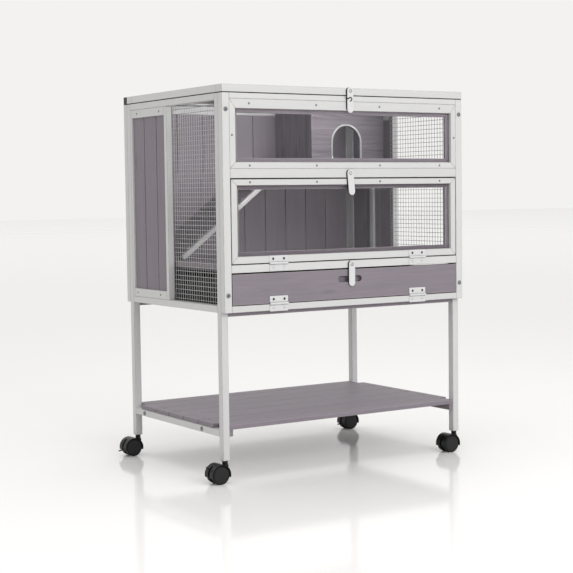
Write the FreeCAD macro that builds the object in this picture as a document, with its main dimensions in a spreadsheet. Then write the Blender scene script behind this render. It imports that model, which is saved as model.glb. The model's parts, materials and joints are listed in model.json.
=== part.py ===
import FreeCAD, Part
import math
import os
import types

import Sketcher

# A two-storey rabbit hutch on a wheeled stand, in millimetres.
# +X runs to the right, +Y to the back and +Z up. The origin is on the floor, under the middle of
# the whole outline, brake levers and hardware included.
# The body is a box of frames: a front frame and a back frame are bolted over the legs, and the side
# frames fit between the legs. The lid, the glazed door and the flap swing on butt hinges.

DIMENSIONS = {
    # outline
    "body_width": 800, "body_depth": 568, "body_height": 574, "leg_length": 392,
    "caster_height": 60, "left_overhang": 53.51, "right_proud": 3, "front_proud": 6.4, "back_proud": 3,
    # stock
    "stock": 20, "stile_width": 22, "panel_gap": 2, "half_depth": 10,
    # levels above the body's bottom
    "bottom_rail_top": 17.5, "flap_bottom": 19.5, "flap_top": 100.5, "mid_rail_bottom": 104,
    "mid_rail_top": 125, "door_bottom": 127.5, "door_top": 349, "window_rail_bottom": 352,
    "window_bottom": 377, "window_top": 559, "lower_floor_top": 126, "upper_floor_top": 374,
    "floor_thickness": 12,
    # roof
    "roof_gap": 2, "roof_thickness": 20, "roof_frame_width": 32, "roof_board_thickness": 14,
    # glazed frames
    "frame_stile": 18, "door_rail_top": 16, "door_rail_bottom": 19, "window_rail_width": 25,
    "window_foot_width": 17, "pane_thickness": 2, "pane_lap": 8, "batten_side": 11,
    # sides and back
    "side_rail_top": 18, "side_rail_bottom": 18, "plank_head": 24, "plank_recess": 4,
    "plank_thickness": 12, "mid_stile_front": 306, "mid_stile_width": 15, "rear_stile_width": 12,
    "groove": 1.5, "mesh_pitch": 12.7, "mesh_wire": 1, "mesh_lap": 7, "back_rail": 24,
    "brace_front": 401, "brace_back": 417, "brace_thickness": 10,
    # tray space
    "base_thickness": 7, "stretcher_drop": 11, "runner_width": 20, "tray_height": 72,
    "tray_wall": 2.5, "tray_margin": 4, "ledge_inset": 20,
    # nest box
    "nest_left": 510, "nest_front": 346, "nest_thickness": 9, "arch_radius": 50.5, "arch_centre": 636,
    "arch_spring": 88, "trim_width": 6, "trim_thickness": 3,
    # ramp
    "ramp_start": 70, "ramp_end": 400, "ramp_front": 342, "ramp_back": 538, "ramp_rail": 10,
    "ramp_rail_height": 14, "ramp_deck_thickness": 8, "tread_height": 5, "tread_width": 10,
    # shelf
    "shelf_drop": 299, "shelf_thickness": 12, "shelf_rail_height": 18, "bearer_width": 12,
    "wide_board": 84, "board_gap": 4,
    # hinges
    "hinge_width": 57, "hinge_centre": 233.5, "leaf_height": 17, "leaf_thickness": 1.6,
    "barrel_radius": 3, "pin_radius": 1.5, "running_clearance": 0.05, "axis_proud": 3.4,
    # straps
    "strap_width": 20, "strap_length": 70, "strap_thickness": 2.5, "strap_standoff": 3,
    "strap_centre": 404, "pivot_radius": 2, "pivot_length": 8, "rivet_radius": 4, "rivet_height": 0.9,
    # bolts
    "bolt_head_radius": 6, "bolt_head_height": 3, "bolt_radius": 2.9, "bolt_length": 30,
    # handle slot
    "slot_length": 80, "slot_height": 17, "slot_centre_height": 74, "slot_depth": 12,
    # casters
    "wheel_radius": 25, "wheel_width": 14, "wheel_inset": 6, "trail": 22, "axle_radius": 4,
    "stem_radius": 3.5, "hood_radius": 28.5, "hood_gap": 1.2, "hood_half_width": 21,
    "web_half_width": 5.5, "boss_radius": 7.5, "boss_bottom": 47, "swivel_gap": 0.5,
    "stem_depth": 30, "lever_reach": 42,
}


class Dim:
    """A length that keeps both its value and the expression that it comes from."""

    def __init__(self, value, text):
        self.value = value
        self.text = text

    def _join(self, sign, other, value):
        return Dim(value, "(%s %s %s)" % (self.text, sign, other.text))

    def __add__(self, other):
        other = as_dim(other)
        return self._join("+", other, self.value + other.value)

    def __sub__(self, other):
        other = as_dim(other)
        return self._join("-", other, self.value - other.value)

    def __mul__(self, other):
        other = as_dim(other)
        return self._join("*", other, self.value * other.value)

    def __truediv__(self, other):
        other = as_dim(other)
        return self._join("/", other, self.value / other.value)


def as_dim(number):
    """Wrap a plain number, and leave a Dim as it is."""
    return number if isinstance(number, Dim) else Dim(float(number), repr(number))


def make_sheet(document):
    """Write the driving dimensions to a spreadsheet and return them as Dims."""
    sheet = document.addObject("Spreadsheet::Sheet", "Dims")
    dims = {}
    for row, (alias, value) in enumerate(DIMENSIONS.items(), start=1):
        sheet.set("A%d" % row, alias)
        sheet.set("B%d" % row, str(value))
        sheet.setAlias("B%d" % row, alias)
        dims[alias] = Dim(float(value), "Dims." + alias)
    document.recompute()
    return types.SimpleNamespace(**dims)


doc = FreeCAD.newDocument("RabbitHutch")
os.makedirs("parts", exist_ok=True)
d = make_sheet(doc)
parts = []

X_AXIS = FreeCAD.Vector(1, 0, 0)
Y_AXIS = FreeCAD.Vector(0, 1, 0)
Z_AXIS = FreeCAD.Vector(0, 0, 1)
ALONG_X = FreeCAD.Rotation(Y_AXIS, 90)
ALONG_Y = FreeCAD.Rotation(X_AXIS, -90)
ALONG_Z = FreeCAD.Rotation()

left = (d.left_overhang - d.body_width - d.right_proud) / 2
right = left + d.body_width
front = (d.front_proud - d.body_depth - d.back_proud) / 2
back = front + d.body_depth
base = d.caster_height + d.leg_length
top = base + d.body_height
roof_bottom = top + d.roof_gap
roof_top = roof_bottom + d.roof_thickness
inner_front = front + d.stock
inner_back = back - d.stock
shelf_top = base - d.shelf_drop
shelf_bottom = shelf_top - d.shelf_thickness
hinge_line = front - d.axis_proud


# ---------------------------------------------------------------- helpers

def bind(obj, prop, dim):
    obj.setExpression(prop, as_dim(dim).text)


def place(obj, x, y, z, rotation=ALONG_Z):
    """Put an object at bound coordinates, turned by a fixed rotation."""
    obj.Placement = FreeCAD.Placement(FreeCAD.Vector(), rotation)
    for axis, dim in zip("xyz", (x, y, z)):
        bind(obj, "Placement.Base." + axis, dim)


def part(label, obj):
    """Name a finished sub-part and keep it for the export."""
    obj.Label = label
    parts.append(obj)
    return obj


def box(name, x0, x1, y0, y1, z0, z1):
    """A square-edged piece between two corners."""
    obj = doc.addObject("Part::Box", name)
    bind(obj, "Length", as_dim(x1) - x0)
    bind(obj, "Width", as_dim(y1) - y0)
    bind(obj, "Height", as_dim(z1) - z0)
    place(obj, x0, y0, z0)
    return obj


def rod(name, x, y, z, radius, length, rotation=ALONG_Z, sweep=None):
    """A round piece that starts at a point; sweep limits it to a sector of so many degrees."""
    obj = doc.addObject("Part::Cylinder", name)
    bind(obj, "Radius", radius)
    bind(obj, "Height", length)
    if sweep:
        obj.Angle = sweep
    place(obj, x, y, z, rotation)
    return obj


def cut(name, solid, tools):
    """Take the tools out of the solid."""
    obj = doc.addObject("Part::Cut", name)
    obj.Base = solid
    obj.Tool = tools[0] if len(tools) == 1 else group(name + "_tools", tools)
    return obj


def fuse(name, pieces):
    obj = doc.addObject("Part::MultiFuse", name)
    obj.Shapes = pieces
    obj.Refine = True
    return obj


def group(name, pieces):
    """Separate solids that share one node."""
    obj = doc.addObject("Part::Compound", name)
    obj.Links = pieces
    return obj


def new_body(name, x, y, z):
    body = doc.addObject("PartDesign::Body", name)
    place(body, x, y, z)
    return body


def add_sketch(body, plane, name):
    sketch = body.newObject("Sketcher::SketchObject", name)
    support = [f for f in body.Origin.OriginFeatures if f.Role == plane][0]
    sketch.AttachmentSupport = [(support, "")]
    sketch.MapMode = "FlatFace"
    return sketch


def fix_point(sketch, name, geometry, position, x, y):
    """Tie one point of a sketch to bound coordinates."""
    for kind, axis, dim in (("DistanceX", -2, x), ("DistanceY", -1, y)):
        if dim is None:
            continue
        dim = as_dim(dim)
        if dim.value == 0:
            sketch.addConstraint(Sketcher.Constraint("PointOnObject", geometry, position, axis))
            continue
        index = sketch.addConstraint(Sketcher.Constraint(kind, -1, 1, geometry, position, dim.value))
        label = "%s_%s" % (name, kind[-1].lower())
        sketch.renameConstraint(index, label)
        sketch.setExpression("Constraints." + label, dim.text)


def add_outline(sketch, name, points, arcs=None):
    """Draw a closed loop. arcs maps a segment's index to its centre; one centre coordinate is
    None where the segment's two ends already settle it. Arcs turn anticlockwise."""
    arcs = arcs or {}
    first = sketch.GeometryCount
    count = len(points)
    flat = [FreeCAD.Vector(as_dim(x).value, as_dim(y).value, 0) for x, y in points]
    for i in range(count):
        start, end = flat[i], flat[(i + 1) % count]
        if i not in arcs:
            sketch.addGeometry(Part.LineSegment(start, end), False)
            continue
        centre = (start + end) / 2
        radius = (end - start).Length / 2
        direction = start - centre
        angle = math.atan2(direction.y, direction.x)
        circle = Part.Circle(centre, Z_AXIS, radius)
        sketch.addGeometry(Part.ArcOfCircle(circle, angle, angle + math.pi), False)
    for i in range(count):
        after = first + (i + 1) % count
        sketch.addConstraint(Sketcher.Constraint("Coincident", first + i, 2, after, 1))
    for i, (x, y) in enumerate(points):
        fix_point(sketch, "%s%d" % (name, i), first + i, 1, x, y)
    for i, (x, y) in arcs.items():
        fix_point(sketch, "%s%dc" % (name, i), first + i, 3, x, y)


def rectangle(x0, y0, x1, y1):
    return [(x0, y0), (x1, y0), (x1, y1), (x0, y1)]


def add_pad(body, sketch, length, reversed_side=False):
    pad = body.newObject("PartDesign::Pad", sketch.Name + "_pad")
    pad.Profile = sketch
    pad.Reversed = reversed_side
    bind(pad, "Length", length)
    body.Tip = pad
    return pad


def upright_panel(name, x, y, z, thickness, loops):
    """A panel drawn in the XZ plane and padded towards the back. loops: (name, points, arcs)."""
    body = new_body(name, x, y, z)
    sketch = add_sketch(body, "XZ_Plane", name + "_outline")
    for loop_name, points, arcs in loops:
        add_outline(sketch, loop_name, points, arcs)
    add_pad(body, sketch, thickness, reversed_side=True)
    return body


# ---------------------------------------------------------------- bolts, and the holes for them

front_bolt_levels = (46, 531)
shelf_bolt_depths = (134, 471)
bolt_inset = d.stile_width / 2


def bolt_places():
    """(name, x, y, z, rotation, sign) of every bolt: the point under its head and its direction."""
    places = []
    for side, x in (("left", left + bolt_inset), ("right", right - bolt_inset)):
        for level in front_bolt_levels:
            places.append(("front_%s_%d" % (side, level), x, front, base + level, "y", 1))
            places.append(("back_%s_%d" % (side, level), x, back, base + level, "y", -1))
    rail_middle = shelf_bottom - d.shelf_rail_height / 2
    for side, x, sign in (("left", left, 1), ("right", right, -1)):
        for depth in shelf_bolt_depths:
            places.append(("shelf_%s_%d" % (side, depth), x, front + depth, rail_middle, "x", sign))
    return places


def bolt_rod(name, spot, radius, length, offset):
    """A round piece on a bolt's axis, from offset inside the seat; a negative offset is outside."""
    _, x, y, z, axis, sign = spot
    start = offset if sign > 0 else (as_dim(0) - offset - length)
    if axis == "y":
        return rod(name, x, y + start, z, radius, length, ALONG_Y)
    return rod(name, x + start, y, z, radius, length, ALONG_X)


def bolt_holes(name, prefix):
    """Drills for the bolts whose name starts with prefix."""
    chosen = [spot for spot in bolt_places() if spot[0].startswith(prefix)]
    return [bolt_rod("%s_drill_%s" % (name, spot[0]), spot, d.bolt_radius, d.bolt_length, as_dim(0))
            for spot in chosen]


def make_bolts():
    pieces = []
    for spot in bolt_places():
        head = bolt_rod("head_" + spot[0], spot, d.bolt_head_radius, d.bolt_head_height,
                        as_dim(0) - d.bolt_head_height)
        shank = bolt_rod("shank_" + spot[0], spot, d.bolt_radius, d.bolt_length, as_dim(0))
        pieces.append(fuse("bolt_" + spot[0], [head, shank]))
    part("bolts", group("bolts_group", pieces))


# ---------------------------------------------------------------- strap latches

STRAP_TILT = {"roof": 0, "door": -5, "flap": 0}


def strap_places():
    """Height above the floor of each strap's lower end and of its pivot."""
    return {
        "roof": (roof_top - 68, roof_top - 8),
        "door": (base + 304, base + d.door_top - d.door_rail_top / 2),
        "flap": (base + 54, base + d.flap_top - 8),
    }


def pivot_hole(name):
    """The hole that a strap's pivot turns in, a little deeper than the pivot reaches."""
    return rod(name + "_pivot_hole", left + d.strap_centre, front, strap_places()[name][1],
               d.pivot_radius + d.running_clearance, d.pivot_length + 1, ALONG_Y)


def make_strap(name):
    """A round-ended strap, drawn about its pivot, with a screw head on the upper end of its face. The
    pivot stands out behind it."""
    zero = as_dim(0)
    radius = d.strap_width / 2
    strap_back = zero - d.strap_standoff
    face = strap_back - d.strap_thickness
    lower_end, pivot_z = strap_places()[name]
    low = lower_end - pivot_z
    high = d.strap_length - radius
    points = [(d.strap_width, radius), (d.strap_width, high), (0, high), (0, radius)]
    plate = upright_panel(name + "_strap_plate", zero - radius, face, low, d.strap_thickness,
                          [("strap", points, {1: (None, high), 3: (None, radius)})])
    pivot = rod(name + "_strap_pivot", zero, strap_back - 1, zero, d.pivot_radius,
                d.strap_standoff + d.pivot_length + 1, ALONG_Y)
    head = rod(name + "_strap_head", zero, face - d.rivet_height, low + high, d.rivet_radius,
               d.rivet_height, ALONG_Y)
    strap = group(name + "_strap", [fuse(name + "_strap_fused", [plate, pivot, head])])
    place(strap, left + d.strap_centre, front, pivot_z, FreeCAD.Rotation(Y_AXIS, STRAP_TILT[name]))
    part(name + "_latch", strap)


# ---------------------------------------------------------------- legs and frames

def leg_corners():
    """(name, centre x, centre y) of the four legs."""
    half = d.stock / 2
    rows = (("front", inner_front + half), ("rear", inner_back - half))
    columns = (("left", left + half), ("right", right - half))
    return [("%s_%s" % (row, side), x, y) for row, y in rows for side, x in columns]


def make_legs():
    half = d.stock / 2
    for name, x, y in leg_corners():
        post = box(name + "_post", x - half, x + half, y - half, y + half, d.caster_height, top)
        socket = rod(name + "_socket", x, y, d.caster_height, d.stem_radius, d.stem_depth)
        row, side = name.split("_")
        face = "front" if row == "front" else "back"
        drills = bolt_holes(name, "%s_%s" % (face, side))
        part("leg_" + name, cut(name + "_leg", post, [socket] + drills))


def make_front_frame():
    stiles = []
    for side, x in (("left", left), ("right", right - d.stile_width)):
        stile = box("front_stile_blank_" + side, x, x + d.stile_width, front, inner_front, base, top)
        drills = bolt_holes("front_stile_" + side, "front_" + side)
        stiles.append(cut("front_stile_" + side, stile, drills))
    part("front_stiles", group("front_stiles_group", stiles))
    x0 = left + d.stile_width
    x1 = right - d.stile_width
    rails = (
        ("front_top_rail", d.window_top, d.body_height),
        ("window_rail", d.window_rail_bottom, d.window_bottom),
        ("mid_rail", d.mid_rail_bottom, d.mid_rail_top),
        ("bottom_rail", as_dim(0), d.bottom_rail_top),
    )
    for name, low, high in rails:
        part(name, box(name, x0, x1, front, inner_front, base + low, base + high))


def glazed_frame(prefix, x0, x1, low, high, foot, head, drills=()):
    """A flat face frame of four sticks, the pane behind it and a batten frame that holds the pane."""
    face_back = front + d.half_depth
    pane_back = face_back + d.pane_thickness
    open_x0 = x0 + d.frame_stile
    open_x1 = x1 - d.frame_stile
    open_low = low + foot
    open_high = high - head
    face = [
        box(prefix + "_stick_left", x0, open_x0, front, face_back, low, high),
        box(prefix + "_stick_right", open_x1, x1, front, face_back, low, high),
        box(prefix + "_stick_foot", open_x0, open_x1, front, face_back, low, open_low),
    ]
    head_stick = box(prefix + "_stick_head", open_x0, open_x1, front, face_back, open_high, high)
    if drills:
        head_stick = cut(prefix + "_stick_head_drilled", head_stick, drills)
    part(prefix + "_frame", group(prefix + "_frame_group", face + [head_stick]))
    lap = d.pane_lap
    part(prefix + "_pane", box(prefix + "_pane", open_x0 - lap, open_x1 + lap, face_back, pane_back,
                               open_low - lap, open_high + lap))
    side = d.batten_side
    battens = [
        box(prefix + "_batten_left", x0, open_x0 + side, pane_back, inner_front, low, high),
        box(prefix + "_batten_right", open_x1 - side, x1, pane_back, inner_front, low, high),
        box(prefix + "_batten_foot", open_x0 + side, open_x1 - side, pane_back, inner_front,
            low, open_low + side),
        box(prefix + "_batten_head", open_x0 + side, open_x1 - side, pane_back, inner_front,
            open_high - side, high),
    ]
    part(prefix + "_batten", group(prefix + "_batten_group", battens))


def make_windows():
    x0 = left + d.stile_width
    x1 = right - d.stile_width
    glazed_frame("upper_window", x0, x1, base + d.window_bottom, base + d.window_top,
                 d.window_foot_width, d.window_rail_width)
    glazed_frame("door", x0 + d.panel_gap, x1 - d.panel_gap, base + d.door_bottom, base + d.door_top,
                 d.door_rail_bottom, d.door_rail_top, [pivot_hole("door")])


def make_flap():
    x0 = left + d.stile_width + d.panel_gap
    width = d.body_width - d.stile_width * 2 - d.panel_gap * 2
    height = d.flap_top - d.flap_bottom
    radius = d.slot_height / 2
    middle = width / 2
    slot_low = d.slot_centre_height - d.flap_bottom - radius
    slot_high = slot_low + d.slot_height
    run = d.slot_length / 2 - radius
    slot = [(middle - run, slot_low), (middle + run, slot_low),
            (middle + run, slot_high), (middle - run, slot_high)]
    arcs = {1: (middle + run, None), 3: (middle - run, None)}
    board = upright_panel("flap_board_body", x0, front, base + d.flap_bottom, d.stock,
                          [("edge", rectangle(0, 0, width, height), None)])
    recess = add_sketch(board, "XZ_Plane", "flap_slot_outline")
    add_outline(recess, "slot", slot, arcs)
    pocket = board.newObject("PartDesign::Pocket", "flap_slot_pocket")
    pocket.Profile = recess
    bind(pocket, "Length", d.slot_depth)
    board.Tip = pocket
    part("flap_board", cut("flap_board_drilled", board, [pivot_hole("flap")]))


def make_back():
    y0, y1 = inner_back, back
    x0, x1 = left + d.stile_width, right - d.stile_width
    rail_low = base + d.window_rail_bottom
    rail_high = base + d.window_bottom
    sticks = []
    for side, x in (("left", left), ("right", x1)):
        blank = box("back_stile_blank_" + side, x, x + d.stile_width, y0, y1, base, top)
        drills = bolt_holes("back_stile_" + side, "back_" + side)
        sticks.append(cut("back_stile_" + side, blank, drills))
    sticks.append(box("back_top_rail", x0, x1, y0, y1, top - d.back_rail, top))
    sticks.append(box("back_bottom_rail", x0, x1, y0, y1, base, base + d.side_rail_bottom))
    part("back_frame", group("back_frame_group", sticks))

    # The upper boards are wider than the lower ones.
    rows = (
        ("upper", rail_high, top - d.back_rail, [76.5 + 88 * i for i in range(8)]),
        ("lower", base + d.side_rail_bottom, rail_low, [95 + 75 * i for i in range(9)]),
    )
    planks = [box("back_mid_rail", x0, x1, y0, y1, rail_low, rail_high)]
    for row, low, high, seams in rows:
        starts = [x0] + [left + seam + d.groove / 2 for seam in seams]
        ends = [left + seam - d.groove / 2 for seam in seams] + [x1]
        for i, (a, b) in enumerate(zip(starts, ends)):
            planks.append(box("back_%s_plank_%d" % (row, i), a, b, y0, y0 + d.plank_thickness, low, high))
    part("back_planks", group("back_planks_group", planks))


def make_sides():
    """Each side: rails and stiles between the legs, planks in the rear half with a brace inside
    them, and mesh in the front half."""
    y0 = inner_front + d.stock
    y1 = inner_back - d.stock
    stile_front = front + d.mid_stile_front
    stile_back = stile_front + d.mid_stile_width
    rear_stile = y1 - d.rear_stile_width
    low = base + d.side_rail_bottom
    high = top - d.side_rail_top
    planks_low = low + d.plank_head
    planks_high = high - d.plank_head
    brace_low = base + d.lower_floor_top
    brace_high = base + d.upper_floor_top - d.floor_thickness
    seams = [front + depth for depth in (375.5, 449.5)]
    for side, x0 in (("left", left), ("right", right - d.stock)):
        x1 = x0 + d.stock
        if side == "left":
            planks_x = x0 + d.plank_recess
            brace_x = planks_x + d.plank_thickness
            mesh_x = x1
        else:
            planks_x = x1 - d.plank_recess - d.plank_thickness
            brace_x = planks_x - d.brace_thickness
            mesh_x = x0 - d.mesh_wire * 2
        tag = side + "_"
        sticks = [
            box(tag + "top_rail", x0, x1, y0, y1, high, top),
            box(tag + "bottom_rail", x0, x1, y0, y1, base, low),
            box(tag + "mid_stile", x0, x1, stile_front, stile_back, low, high),
            box(tag + "rear_stile", x0, x1, rear_stile, y1, low, high),
            box(tag + "plank_head", x0, x1, stile_back, rear_stile, planks_high, high),
            box(tag + "plank_foot", x0, x1, stile_back, rear_stile, low, planks_low),
            box(tag + "brace", brace_x, brace_x + d.brace_thickness, front + d.brace_front,
                front + d.brace_back, brace_low, brace_high),
        ]
        part("side_frame_" + side, group(tag + "frame", sticks))
        starts = [stile_back] + [seam + d.groove / 2 for seam in seams]
        ends = [seam - d.groove / 2 for seam in seams] + [rear_stile]
        planks = [box("%splank_%d" % (tag, i), planks_x, planks_x + d.plank_thickness, near, far,
                      planks_low, planks_high)
                  for i, (near, far) in enumerate(zip(starts, ends))]
        part("side_planks_" + side, group(tag + "planks", planks))
        make_mesh(side, mesh_x, y0 - d.mesh_lap, stile_back, low - d.mesh_lap, high + d.mesh_lap)


def make_mesh(side, x, y0, y1, z0, z1):
    """Welded wire mesh: a layer of upright wires and a layer of level ones, at the same pitch."""
    pitch = d.mesh_pitch
    wire = d.mesh_wire
    columns = int((y1.value - y0.value - wire.value) / pitch.value)
    rows = int((z1.value - z0.value - wire.value) / pitch.value)
    middle = x + wire
    width = pitch * columns + wire
    height = pitch * rows + wire
    wires = []
    for i in range(columns + 1):
        near = y0 + pitch * i
        wires.append(box("%s_upright_%d" % (side, i), x, middle, near, near + wire, z0, z0 + height))
    for i in range(rows + 1):
        low = z0 + pitch * i
        wires.append(box("%s_level_%d" % (side, i), middle, middle + wire, y0, y0 + width, low, low + wire))
    part("side_mesh_" + side, group("side_mesh_%s_group" % side, wires))


# ---------------------------------------------------------------- floors, tray and nest box

def make_floors():
    """The lower floor lies on two ledges. Under it is the base board, with a stretcher below its front
    and rear edges and two runners that carry the tray. The upper floor starts at the ramp's top end,
    so that the left half of the cage is open to its full height."""
    x0 = left + d.stock + d.panel_gap
    x1 = right - d.stock - d.panel_gap
    floor_top = base + d.lower_floor_top
    floor_bottom = floor_top - d.floor_thickness
    ledge_low = base + d.mid_rail_bottom
    ledge_x0 = x0 + d.ledge_inset
    ledge_x1 = x1 - d.ledge_inset
    base_top = base + d.base_thickness
    runner_top = base + d.bottom_rail_top
    runner_front = inner_front + d.tray_margin
    runner_back = inner_back - d.tray_margin
    tray_x0 = left + d.stock + d.tray_margin
    tray_x1 = right - d.stock - d.tray_margin
    part("floor_rails", group("floor_rails_group", [
        box("floor_ledge_left", ledge_x0, ledge_x0 + d.bearer_width, inner_front, inner_back, ledge_low,
            floor_bottom),
        box("floor_ledge_right", ledge_x1 - d.bearer_width, ledge_x1, inner_front, inner_back, ledge_low,
            floor_bottom),
        box("tray_runner_left", tray_x0, tray_x0 + d.runner_width, runner_front, runner_back, base_top,
            runner_top),
        box("tray_runner_right", tray_x1 - d.runner_width, tray_x1, runner_front, runner_back, base_top,
            runner_top)]))
    part("lower_floor", box("lower_floor_board", x0, x1, inner_front, inner_back, floor_bottom, floor_top))
    upper_top = base + d.upper_floor_top
    part("upper_floor", box("upper_floor_board", left + d.ramp_end + d.panel_gap, x1, inner_front,
                            inner_back, upper_top - d.floor_thickness, upper_top))
    board_x0 = left + d.stock
    board_x1 = right - d.stock
    stretcher_low = base - d.stretcher_drop
    part("base_board", group("base_board_group", [
        box("base_board_sheet", board_x0, board_x1, inner_front, inner_back, base, base_top),
        box("front_stretcher", board_x0, board_x1, inner_front, inner_front + d.bearer_width,
            stretcher_low, base),
        box("rear_stretcher", board_x0, board_x1, inner_back - d.bearer_width, inner_back,
            stretcher_low, base)]))


def make_tray():
    runner_top = base + d.bottom_rail_top
    x0 = left + d.stock + d.tray_margin
    x1 = right - d.stock - d.tray_margin
    y0 = inner_front + d.tray_margin
    y1 = inner_back - d.tray_margin
    body = new_body("tray_body", x0, y0, runner_top)
    outer = add_sketch(body, "XY_Plane", "tray_outline")
    add_outline(outer, "edge", rectangle(0, 0, x1 - x0, y1 - y0))
    add_pad(body, outer, d.tray_height)
    hollow = add_sketch(body, "XY_Plane", "tray_hollow")
    hollow.AttachmentOffset = FreeCAD.Placement(FreeCAD.Vector(0, 0, d.tray_wall.value), FreeCAD.Rotation())
    hollow.setExpression("AttachmentOffset.Base.z", d.tray_wall.text)
    wall = d.tray_wall
    add_outline(hollow, "inside", rectangle(wall, wall, x1 - x0 - wall, y1 - y0 - wall))
    pocket = body.newObject("PartDesign::Pocket", "tray_pocket")
    pocket.Profile = hollow
    pocket.Reversed = True
    bind(pocket, "Length", d.tray_height)
    body.Tip = pocket
    part("tray", body)


def make_nest_box():
    floor = base + d.upper_floor_top
    x0 = left + d.nest_left
    x1 = right - d.stock - d.panel_gap
    y0 = front + d.nest_front
    y1 = y0 + d.nest_thickness
    width = x1 - x0
    height = top - floor
    centre = d.arch_centre - d.nest_left
    jamb_left = centre - d.arch_radius
    jamb_right = centre + d.arch_radius
    wall = [(0, 0), (jamb_left, 0), (jamb_left, d.arch_spring), (jamb_right, d.arch_spring),
            (jamb_right, 0), (width, 0), (width, height), (0, height)]
    # The loop runs clockwise round the doorway, so the arch is drawn from its right jamb.
    mirrored = [wall[0], wall[7], wall[6], wall[5], wall[4], wall[3], wall[2], wall[1]]
    part("nest_front_wall", upright_panel("nest_front_wall_body", x0, y0, floor, d.nest_thickness,
                                          [("wall", mirrored, {5: (None, d.arch_spring)})]))
    part("nest_side_wall", box("nest_side_wall_board", x0, x0 + d.nest_thickness, y1, inner_back, floor, top))

    trim = d.trim_width
    start = trim
    inner_left = start
    inner_right = start + d.arch_radius * 2
    outer_right = inner_right + trim
    outline = [(0, 0), (inner_left, 0), (inner_left, d.arch_spring), (inner_right, d.arch_spring),
               (inner_right, 0), (outer_right, 0), (outer_right, d.arch_spring), (0, d.arch_spring)]
    order = [0, 7, 6, 5, 4, 3, 2, 1]
    loop = [outline[i] for i in order]
    body = new_body("arch_trim_body", x0 + jamb_left - trim, y0 - d.trim_thickness, floor)
    sketch = add_sketch(body, "XZ_Plane", "arch_trim_outline")
    add_trim_outline(sketch, loop)
    add_pad(body, sketch, d.trim_thickness, reversed_side=True)
    part("arch_trim", body)


def add_trim_outline(sketch, loop):
    """The trim is a strip with a straight jamb, an arch over the top and a second jamb. The outer
    arch runs clockwise and the inner one anticlockwise, so each gets its own circle here."""
    flat = [FreeCAD.Vector(as_dim(x).value, as_dim(y).value, 0) for x, y in loop]
    middle = (flat[1] + flat[2]) / 2
    outer = (flat[2] - flat[1]).Length / 2
    inner = (flat[5] - flat[6]).Length / 2
    outer_arc = Part.ArcOfCircle(Part.Circle(middle, Z_AXIS, outer), 0, math.pi)
    inner_arc = Part.ArcOfCircle(Part.Circle(middle, Z_AXIS, inner), 0, math.pi)
    lines = ((0, 1), (2, 3), (3, 4), (4, 5), (6, 7), (7, 0))
    for a, b in lines:
        sketch.addGeometry(Part.LineSegment(flat[a], flat[b]), False)
    sketch.addGeometry(outer_arc, False)
    sketch.addGeometry(inner_arc, False)
    joins = ((0, 2, 6, 2), (6, 1, 1, 1), (1, 2, 2, 1), (2, 2, 3, 1), (3, 2, 7, 1), (7, 2, 4, 1),
             (4, 2, 5, 1), (5, 2, 0, 1))
    for join in joins:
        sketch.addConstraint(Sketcher.Constraint("Coincident", *join))
    corners = {0: (0, 1), 1: (1, 1), 2: (2, 1), 3: (3, 1), 4: (4, 1), 5: (5, 1)}
    owners = {0: loop[0], 1: loop[2], 2: loop[3], 3: loop[4], 4: loop[6], 5: loop[7]}
    for line, (geometry, position) in corners.items():
        x, y = owners[line]
        fix_point(sketch, "trim%d" % line, geometry, position, x, y)
    x, y = loop[1]
    fix_point(sketch, "trim_outer", 0, 2, x, y)
    x, y = loop[5]
    fix_point(sketch, "trim_inner", 3, 2, x, y)
    fix_point(sketch, "trim_outer_centre", 6, 3, None, loop[1][1])
    fix_point(sketch, "trim_inner_centre", 7, 3, None, loop[1][1])


def make_ramp():
    """A cleated deck between two rails, from the lower floor up to the upper one."""
    rise = d.upper_floor_top.value - d.lower_floor_top.value
    run = d.ramp_end.value - d.ramp_start.value
    slope = math.degrees(math.atan2(rise, run))
    length = math.hypot(rise, run)
    tilt = FreeCAD.Rotation(Y_AXIS, -slope)
    x = left + d.ramp_start
    z = base + d.lower_floor_top
    y0 = front + d.ramp_front
    y1 = front + d.ramp_back

    def slanted(name, along, up, ya, yb, size, height):
        piece = doc.addObject("Part::Box", name)
        piece.Length = size
        bind(piece, "Width", yb - ya)
        bind(piece, "Height", height)
        shift = tilt.multVec(FreeCAD.Vector(along, 0, up))
        place(piece, x + shift.x, ya, z + shift.z, tilt)
        return piece

    rails = [slanted("ramp_rail_front", 0, 0, y0, y0 + d.ramp_rail, length, d.ramp_rail_height),
             slanted("ramp_rail_back", 0, 0, y1 - d.ramp_rail, y1, length, d.ramp_rail_height)]
    part("ramp_rails", group("ramp_rails_group", rails))
    deck_front = y0 + d.ramp_rail
    deck_back = y1 - d.ramp_rail
    deck_low = d.ramp_rail_height.value - d.ramp_deck_thickness.value
    end_margin = 6
    deck = slanted("ramp_deck_board", end_margin, deck_low, deck_front, deck_back,
                   length - 2 * end_margin, d.ramp_deck_thickness)
    spacing = 45
    cleats = [slanted("ramp_cleat_%d" % i, spacing * (i + 0.7), d.ramp_rail_height.value, deck_front,
                      deck_back, d.tread_width.value, d.tread_height)
              for i in range(int(length / spacing) - 1)]
    part("ramp_deck", group("ramp_deck_group", [deck] + cleats))


# ---------------------------------------------------------------- roof

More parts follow.
